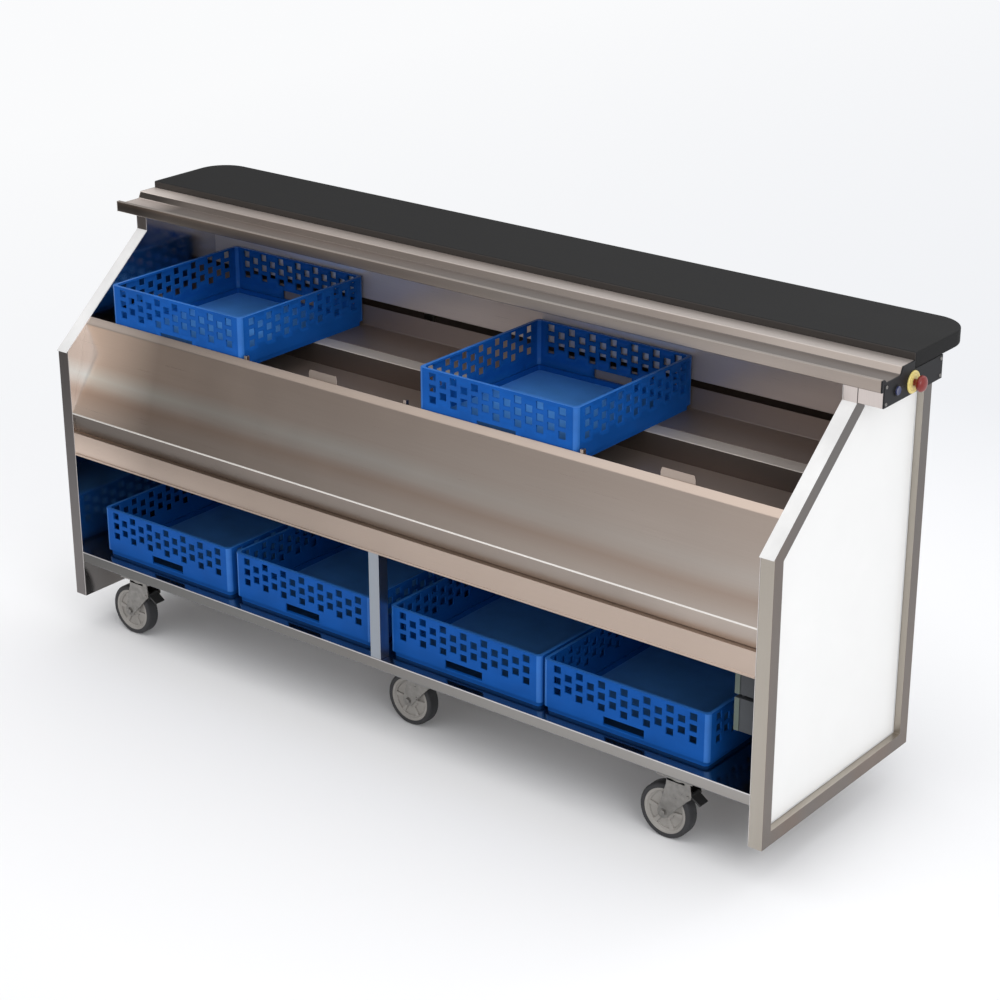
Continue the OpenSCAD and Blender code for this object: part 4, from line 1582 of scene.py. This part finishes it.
        # The corner posts and the rim get the painted highlight.
        return Accent(floor, on_floor), Accent(BASKET_CORNER_HIGHLIGHT, on_corner)

    def build(self, node: str) -> None:
        """Builds the basket where its node stands.

        Args:
            node: the basket's node, which is its body too.
        """
        low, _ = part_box(node)
        bm = self.shell()
        bmesh.ops.translate(bm, verts=bm.verts[:], vec=low)
        self.shop.piece(
            f"{node}_shell", bm, BASKET_BLUE, node, (node,), edge=0.0007, segments=1,
            wall=self.wall, accents=self.accents(node, low),
        )


@dataclass
class Caster(Assembly):
    """A swivel caster: forked leg, wheel and, in front, a brake."""

    name: str
    swivel: Vector
    wheel: float = 0.075
    trail: float = 0.042
    tyre_width: float = 0.038
    tyre: float = 0.013
    tyre_round: float = 0.007
    tyre_foot: Point = (0.004, 0.001)
    axle: float = 0.006
    axle_play: float = 0.00005
    boss: float = 0.02
    hub_neck: Point = (0.013, 0.0145)
    hub_chamfer: float = 0.0015
    hub_slopes: Triple = (0.003, 0.011, 0.007)
    hub_sink: Point = (0.002, 0.004)
    hub_play: float = 0.0003
    boss_rise: float = 0.001
    spoke_turn: int = 60
    pocket_turn: int = 48
    pocket_gap: Point = (0.004, 0.012)
    pocket_inset: Point = (0.0015, 0.0012)
    pocket_depth: float = 0.004
    web_flat: float = 0.99
    leg_y: float = 0.022
    leg_t: float = 0.004
    leg_end: float = 0.017
    leg_neck: Point = (0.002, 0.012)
    knee: Point = (0.039, 0.145)
    elbow: Point = (0.03, 0.141)
    elbow_round: float = 0.009
    crown: float = 0.034
    crown_y: float = 0.026
    crown_z: float = 0.1777
    crown_t: float = 0.008
    washer: Point = (0.0105, 0.0015)
    bolt: Point = (0.0085, 0.0072)
    bolt_z: Point = (0.004, 0.005)
    rivet: Point = (0.005, 0.0045)
    rivet_z: Point = (0.0015, 0.002)
    pin: Point = (0.003, 0.001)

    @property
    def centre(self) -> Vector:
        """Returns the middle of the wheel."""
        return Vector((self.swivel.x - self.trail, self.swivel.y, self.wheel))

    def tyre_piece(self) -> None:
        """Turns the tyre with its round shoulders."""
        r, half, turn = self.wheel, self.tyre_width / 2, self.tyre_round
        inner = r - self.tyre
        step, chamfer = self.tyre_foot
        profile = [(inner, -half + chamfer), (inner + step, -half)]
        profile += arc((r - turn, -half + turn), turn, -90, -12, 5)
        profile += [(r, 0.0)]
        profile += arc((r - turn, half - turn), turn, 12, 90, 5)
        profile += [(inner + step, half), (inner, half - chamfer), (inner, -half + chamfer)]
        bm = self.shop.turned(profile, self.centre, ALONG_Y, 64)
        name = f"tyre_{self.name}"
        self.shop.piece(f"{name}_rubber", bm, TYRE, f"wheel_{self.name}", (name,))

    def hub_profile(self) -> list[Point]:
        """Draws the hub's section.

        Returns:
            The points, from the axle round and back.
        """
        rim = self.wheel - self.tyre
        half = self.tyre_width / 2 - self.hub_sink[0]
        web, end = half - self.hub_sink[1], self.leg_y - self.hub_play
        bore = self.axle + self.axle_play
        neck, foot = self.hub_neck
        rise, inner, outer = self.hub_slopes
        side = [
            (bore, end), (neck, end), (foot, end - self.hub_chamfer),
            (self.boss, web + self.boss_rise), (self.boss + rise, web), (rim - inner, web),
            (rim - outer, half), (rim, half),
        ]
        return [(r, -y) for r, y in side] + side[::-1] + [(bore, -end)]

    def pockets(self, bm: bmesh.types.BMesh) -> list[list[bmesh.types.BMFace]]:
        """Sorts the faces between the spokes by side and spoke.

        Args:
            bm: the turned hub.

        Returns:
            The faces of each pocket.
        """
        low = self.boss + self.pocket_gap[0]
        high = self.wheel - self.tyre - self.pocket_gap[1]
        found: dict[tuple[bool, int], list] = {}
        for f in bm.faces:
            away = f.calc_center_median() - self.centre
            turn = math.degrees(math.atan2(away.z, away.x)) % 360
            on_web = abs(f.normal.y) > self.web_flat and low < away.xz.length < high
            if on_web and turn % self.spoke_turn < self.pocket_turn:
                found.setdefault((f.normal.y > 0, int(turn // self.spoke_turn)), []).append(f)
        return list(found.values())

    def hub_piece(self) -> None:
        """Turns the hub and sinks a ring of pockets in both faces."""
        bm = self.shop.turned(self.hub_profile(), self.centre, ALONG_Y, 60)
        edge, slant = self.pocket_inset
        for faces in self.pockets(bm):
            bmesh.ops.inset_region(bm, faces=faces, thickness=edge, depth=0.0)
            bmesh.ops.inset_region(bm, faces=faces, thickness=slant, depth=-self.pocket_depth)
        name = f"hub_{self.name}"
        self.shop.piece(f"{name}_moulding", bm, HUB_GREY, f"wheel_{self.name}", (name,), 0.0006, 1)

    def leg_outline(self) -> list[Point]:
        """Draws a fork leg's side view.

        Returns:
            The points, counted from the swivel's axis.
        """
        wide = self.crown + self.leg_neck[0]
        neck = self.crown_z - self.crown_t
        outline = [(-self.crown, self.crown_z), (self.crown, self.crown_z), (wide, neck), self.knee]
        outline += arc(self.elbow, self.elbow_round, 0, -75, 4)
        outline += arc((-self.trail, self.wheel), self.leg_end, -22, -193, 12)
        return outline + [(-wide, neck - self.leg_neck[1])]

    def fork_piece(self) -> None:
        """Builds the pressed fork with its crown, axle bolt and brake pin."""
        x, y = self.swivel.x, self.swivel.y
        parts = []
        for start in (-self.leg_y - self.leg_t, self.leg_y):
            outline = [Vector((x + px, y + start, pz)) for px, pz in self.leg_outline()]
            parts.append(self.shop.slab(outline, Vector((0, self.leg_t, 0))))
        wide, under = self.crown_y, self.crown_z - self.crown_t
        crown = arc((0, 0), self.crown, -90, 90, 14) + [(-self.crown, wide), (-self.crown, -wide)]
        ring = [Vector((x + px, y + max(-wide, min(wide, py)), under)) for px, py in crown]
        parts.append(self.shop.slab(ring, Vector((0, 0, self.crown_t))))
        name, body = f"fork_{self.name}", f"swivel_{self.name}"
        self.shop.piece(f"{name}_pressing", joined(parts), ZINC, body, (name,), 0.0012, 3)
        self.fasteners(body)

    def fasteners(self, body: str) -> None:
        """Adds the axle's bolt head and nut, and the pin of the brake.

        Args:
            body: the swivel that they ride on.
        """
        out = self.leg_y + self.leg_t
        parts = []
        pin = Vector((self.swivel.x + self.elbow[0], self.swivel.y, self.elbow[1]))
        wide, thick = self.washer
        (r_foot, r_top), (z_foot, z_top) = self.bolt, self.bolt_z
        washer = [(0.0, 0.0), (wide, 0.0), (wide, thick), (0.0, thick)]
        head = [(0.0, thick), (r_foot, thick), (r_foot, z_foot), (r_top, z_top), (0.0, z_top)]
        (rivet_foot, rivet_top), (z_edge, z_dome) = self.rivet, self.rivet_z
        rivet = [(0.0, 0.0), (rivet_foot, 0.0), (rivet_top, z_edge), (0.0, z_dome)]
        for axis in (-ALONG_Y, ALONG_Y):
            parts.append(self.shop.turned(washer, self.centre + axis * out, axis, 32))
            parts.append(self.shop.turned(head, self.centre + axis * out, axis, 6))
        for axis in (-ALONG_Y, ALONG_Y):
            parts.append(self.shop.turned(rivet, pin + axis * out, axis, 20))
        for middle, radius, reach, steps in (
            (pin, self.pin[0], self.leg_y + self.pin[1], 20),
            (self.centre, self.axle - 2 * self.axle_play, out, 32),
        ):
            rod = [(0.0, -reach), (radius, -reach), (radius, reach), (0.0, reach)]
            parts.append(self.shop.turned(rod, middle, ALONG_Y, steps))
        self.shop.piece(f"axle_{self.name}_bolt", joined(parts), ZINC, body, (), 0.0004, 1)

    def build(self) -> None:
        """Builds the caster's pieces."""
        self.tyre_piece()
        self.hub_piece()
        self.fork_piece()
        if f"brake_{self.name}" in frame["nodes"]:
            self.shop.softened(f"brake_{self.name}", BLACK_PLASTIC, 0.0012, 3)


@dataclass
class RunningGear(Assembly):
    """All six casters with their plates and bolts."""

    def build(self) -> None:
        """Builds each caster at its swivel joint."""
        self.shop.softened("caster_plates", ZINC, 0.0008)
        self.shop.softened("caster_bolts", ZINC, 0.0004, 1)
        for joint in frame["joints"]:
            if joint["name"].startswith("swivel_"):
                name = joint["child"].removeprefix("swivel_")
                Caster(self.shop, name, Vector(joint["pos_m"])).build()


@dataclass
class Controls(Assembly):
    """The box at the right end with its stop button and small push button."""

    ring: Stops = (
        (0.0081, -0.0008), (0.0095, 0.0), (0.017, -0.0004), (0.0185, -0.0016), (0.0205, -0.0016),
        (0.022, -0.0004), (0.0262, -0.0006), (0.028, -0.0024),
    )
    ring_depth: float = 0.005
    barrel: float = 0.011
    head: Stops = (
        (0.0, 0.0), (0.006, -0.0003), (0.0115, -0.0014), (0.016, -0.0036), (0.0185, -0.006),
        (0.02, -0.009), (0.02, -0.0135), (0.0185, -0.0165), (0.0145, -0.02), (0.008, -0.02),
    )
    cap: Stops = (
        (0.0, -0.0012), (0.006, -0.0008), (0.0085, -0.0002), (0.0098, 0.0), (0.011, -0.0012),
        (0.011, -0.0105), (0.0135, -0.0105),
    )
    fluted: Point = (-0.0145, -0.0085)
    flutes: int = 18
    flute_depth: float = 0.028

    def outer_face(self, node: str) -> tuple[Vector, float]:
        """Returns the middle of a node's right face, and the place of its left end from there."""
        low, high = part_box(node)
        return Vector((high.x, (low.y + high.y) / 2, (low.z + high.z) / 2)), low.x - high.x

    def stop_ring(self) -> None:
        """Turns the yellow collar."""
        centre, back = self.outer_face("stop_ring")
        bore, edge, deep = self.ring[0][0], self.ring[-1][0], -self.ring_depth
        profile = [(bore, deep), *self.ring, (edge, deep), (self.barrel, deep)]
        profile += [(self.barrel, back), (bore, back), (bore, deep)]
        bm = self.shop.turned(profile, centre, ALONG_X, 64)
        nodes = ("stop_ring",)
        self.shop.piece("stop_ring_collar", bm, SIGNAL_YELLOW, "counter", nodes, 0.0004, 1)

    def flute(self, bm: bmesh.types.BMesh, centre: Vector) -> None:
        """Presses shallow flutes into the head's edge.

        Args:
            bm: the turned head.
            centre: the middle of its face.
        """
        for v in bm.verts:
            away = v.co - centre
            if self.fluted[0] < away.x < self.fluted[1]:
                wave = 0.5 + 0.5 * math.cos(math.atan2(away.z, away.y) * self.flutes)
                squeeze = 1 - self.flute_depth * wave
                v.co.yz = centre.yz + away.yz * squeeze

    def stop_button(self) -> None:
        """Turns the mushroom head with its fluted edge."""
        centre, back = self.outer_face("stop_button")
        profile = [*self.head, (self.head[-1][0], back), (0.0, back)]
        bm = self.shop.turned(profile, centre, ALONG_X, 72)
        self.flute(bm, centre)
        self.shop.piece("stop_button_head", bm, SIGNAL_RED, "stop_button", ("stop_button",))

    def reset_button(self) -> None:
        """Turns the small button with its dished face."""
        centre, back = self.outer_face("reset_button")
        profile = [*self.cap, (self.cap[-1][0], back), (0.0, back)]
        bm = self.shop.turned(profile, centre, ALONG_X, 48)
        self.shop.piece("reset_button_cap", bm, BUTTON_BLUE, "reset_button", ("reset_button",))

    def build(self) -> None:
        """Builds the box, plate, ring and buttons."""
        # The control box takes the pale copy of the steel: painted light.
        self.shop.softened("control_box", STEEL_STEP_LIT, 0.001)
        self.shop.softened("control_plate", BLACK_COAT, 0.0009)
        self.stop_ring()
        self.stop_button()
        self.reset_button()


@dataclass
class ElectricalUnit(Assembly):
    """The two dark boxes at the right end of the lower bay."""

    upper_rows: int = 4
    lower_rows: int = 5
    first_row: float = 0.014
    row_pitch: float = 0.01
    louvre_height: float = 0.005
    louvre_proud: float = 0.0022
    louvre_lip: float = 0.0005
    louvre_start: float = 0.04
    louvre_length: float = 0.12

    def louvres(self) -> None:
        """Sets a row of raised louvres on the left side of both boxes."""
        parts = []
        boxes = {"unit_upper_box": self.upper_rows, "unit_lower_box": self.lower_rows}
        for node, rows in boxes.items():
            low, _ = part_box(node)
            y = low.y + self.louvre_start
            for row in range(rows):
                z = low.z + self.first_row + row * self.row_pitch
                outline = [
                    Vector((low.x, y, z)),
                    Vector((low.x, y, z + self.louvre_height)),
                    Vector((low.x - self.louvre_proud, y, z + self.louvre_lip)),
                ]
                parts.append(self.shop.slab(outline, ALONG_Y * self.louvre_length))
        self.shop.piece("unit_louvres", joined(parts), UNIT_COAT, "counter", (), 0.0003, 1)

    def build(self) -> None:
        """Dresses the boxes, trims and inlet."""
        self.shop.softened("unit_upper_box", UNIT_COAT, 0.0015, 3)
        self.shop.softened("unit_lower_box", UNIT_COAT, 0.0012, 3)
        self.shop.softened("unit_edge_trim", TRIM_METAL, 0.0006)
        self.shop.softened("power_inlet", BLACK_PLASTIC, 0.001)
        self.louvres()


@dataclass
class CustomerSide(Assembly):
    """The frame, panels and screws on the customer's side."""

    head: Stops = (
        (0.001, 0.0012), (0.0012, 0.0012), (0.0017, 0.0023), (0.0032, 0.0019), (0.0043, 0.0009),
        (0.0045, 0.0), (0.0, 0.0),
    )

    def screw_places(self) -> list[list[Vector]]:
        """Tells the node's screws apart.

        Returns:
            The corners of each screw.
        """
        bm = self.shop.copied("panel_screws")
        places = []
        known: set[bmesh.types.BMVert] = set()
        for first in bm.verts:
            if first in known:
                continue
            known.add(first)
            group = [first]
            for v in group:
                near = [e.other_vert(v) for e in v.link_edges]
                group += [n for n in near if n not in known]
                known.update(near)
            places.append([v.co.copy() for v in group])
        bm.free()
        return places

    def screw_heads(self) -> None:
        """Turns a domed head for each screw."""
        parts = []
        for points in self.screw_places():
            low = Vector([min(p[i] for p in points) for i in range(3)])
            high = Vector([max(p[i] for p in points) for i in range(3)])
            size = high - low
            along = min(range(3), key=lambda i: size[i])
            axis = Vector([1.0 if i == along else 0.0 for i in range(3)])
            base = (low + high) / 2 - axis * size[along] / 2
            parts.append(self.shop.turned(self.head, base, axis, 20))
        self.shop.piece("panel_screw_heads", joined(parts), ZINC, "counter", ("panel_screws",))

    def build(self) -> None:
        """Dresses the customer's side."""
        self.shop.softened("back_frame", STEEL_UPRIGHT, 0.0018, 3)
        # The panels' faces toward the front take dark steel: painted shade.
        back = Accent(STEEL_DARK, lambda f: f.normal.y < -FACING)
        self.shop.softened("customer_panels", WHITE_BOARD, 0.001, accents=(back,))
        self.screw_heads()


# Studio


@dataclass(frozen=True)
class Lamp:
    """An area lamp that faces the counter's middle."""

    name: str
    place: Triple
    size: Point
    power: float
    colour: Colour

    def hang(self) -> None:
        """Hangs the lamp at its place."""
        data = bpy.data.lights.new(self.name, "AREA")
        data.shape = "RECTANGLE"
        data.size, data.size_y = self.size
        data.energy = self.power
        data.color = self.colour
        made = placed(self.name, data)
        made.location = self.place
        aim = LAMP_AIM - Vector(self.place)
        made.rotation_euler = aim.to_track_quat("-Z", "Y").to_euler()


LAMP_AIM = Vector((0, 0, 0.6))
LAMPS = (
    Lamp("key", (-0.8, -1.4, 5.2), (6.0, 5.0), 80.0, (1.0, 0.98, 0.96)),
    Lamp("fill", (5.5, -3.0, 3.6), (3.5, 3.5), 126.0, (0.97, 0.98, 1.0)),
    Lamp("rear", (1.0, 5.0, 4.6), (4.0, 2.0), 45.0, (1.0, 1.0, 1.0)),
    Lamp("glow", (-4.25, -2.85, 1.25), (0.3, 1.1), 2.4, (1.0, 0.72, 0.5)),
)


@dataclass
class Studio:
    """Floor, backdrop light and the camera at the photograph's place."""

    camera_place: Triple = (3.698, -4.558, 3.010)
    azimuth: float = 38.37
    elevation: float = 22.47
    roll: float = -0.11
    focal: float = 2349.4
    frame_size: float = 1000.0
    sensor: float = 36.0
    floor_size: float = 40.0
    floor_tones: tuple[Colour, Colour] = ((0.86, 0.86, 0.87), (0.88, 0.88, 0.88))
    floor_fade: Point = (1.5, 3.0)
    backdrop: tuple[Colour, Colour] = ((0.96, 0.965, 0.975), (0.84, 0.855, 0.89))
    backdrop_reach: Point = (-6.0, 2.5)
    front_fade: Point = (-0.6, -2.2)
    dim_end: Point = (-0.76, -0.44)
    corner_light: float = 0.06
    room_light: Point = (0.08, 0.96)
    room_colour: Colour = (0.98, 0.98, 1.0)
    fill_colour: Colour = (0.97, 0.98, 1.0)
    fill_light: float = 0.88

    def camera(self) -> None:
        """Sets up the camera."""
        data = bpy.data.cameras.new("camera")
        data.sensor_width = self.sensor
        data.lens = self.focal / self.frame_size * self.sensor
        made = placed("camera", data)
        turn = Matrix.Rotation(math.radians(self.azimuth), 4, "Z")
        tilt = Matrix.Rotation(math.radians(90 - self.elevation), 4, "X")
        lean = Matrix.Rotation(math.radians(self.roll), 4, "Z")
        made.matrix_world = Matrix.Translation(self.camera_place) @ turn @ tilt @ lean
        bpy.context.scene.camera = made

    def floor_material(self) -> bpy.types.Material:
        """Mixes the floor's matt paint, which turns into an even light far away.

        Returns:
            The material.
        """
        g = Graph("studio_floor")
        cloud = g.noise((0.4, 0.4, 0.4), 2.0)
        paint = g.tint(cloud, *self.floor_tones)
        material = g.shade(Base_Color=paint, Roughness=0.8, Specular_IOR_Level=0.0)
        away = g.node("ShaderNodeVectorMath", {"operation": "LENGTH"}, {0: g.place}, "Value")
        across = g.place.axis("X")
        ahead = g.place.axis("Y").between(*self.front_fade)
        room = across.over(away).between(*self.dim_end, self.corner_light, 1.0)
        light = (1.0 - ahead * (1.0 - room)).larger(g.ray("Camera"))
        pale = g.tint(across.between(*self.backdrop_reach), *self.backdrop)
        even = g.node("ShaderNodeEmission", {}, {"Color": pale, "Strength": light})
        share = away.between(*self.floor_fade) * g.seen()
        surface = g.mixed_shader(share, Value(g, g.shader.outputs["BSDF"]), even)
        g.connect(g.output.inputs["Surface"], surface)
        return material

    def floor(self) -> None:
        """Lays the pale floor.

        It takes the shadow near the counter and is even far from it. Its front left is dim where it
        is mirrored, and pale where the camera sees it.
        """
        bm = bmesh.new()
        bmesh.ops.create_grid(bm, x_segments=1, y_segments=1, size=self.floor_size)
        mesh = bpy.data.meshes.new("studio_floor")
        bm.to_mesh(mesh)
        bm.free()
        mesh.materials.append(self.floor_material())
        placed("studio_floor", mesh)

    def world(self) -> None:
        """Sets the even fill and the pale room.

        The fill lights the counter. The camera, mirrors and glass see the room instead, which has
        one dim end in mirrors.
        """
        world = bpy.data.worlds.new("studio")
        bpy.context.scene.world = world
        world.use_nodes = True
        g = Nodes(world.node_tree)
        way = g.node("ShaderNodeTexCoord", {}, {}, "Generated")
        room = way.axis("X").between(*self.dim_end, *self.room_light)
        light = room.larger(g.ray("Camera") * self.room_light[1])
        fill, pale = (
            g.node("ShaderNodeBackground", {}, {"Color": colour, "Strength": strength})
            for colour, strength in ((self.fill_colour, self.fill_light), (self.room_colour, light))
        )
        output = g.tree.nodes.new("ShaderNodeOutputWorld")
        g.connect(output.inputs["Surface"], g.mixed_shader(g.seen(), fill, pale))

    def build(self) -> None:
        """Builds the whole studio."""
        bpy.context.scene.view_settings.view_transform = "Standard"
        self.camera()
        self.floor()
        self.world()
        for lamp in LAMPS:
            lamp.hang()


def main() -> None:
    """Builds the looks in order."""
    logging.basicConfig(level=logging.INFO, format="%(name)s: %(message)s")
    shop = Workshop()
    shape = Shape()
    Studio().build()
    SideFrames(shop, shape).build()
    Sheetwork(shop, shape).build()
    BarTop(shop, shape).build()
    Controls(shop).build()
    ElectricalUnit(shop).build()
    CustomerSide(shop).build()
    basket = Basket(shop)
    for node in sorted(frame["nodes"]):
        if "basket" in node:
            basket.build(node)
    RunningGear(shop).build()
    log.info("%d pieces", shop.count)


if __name__ == "__main__":
    main()
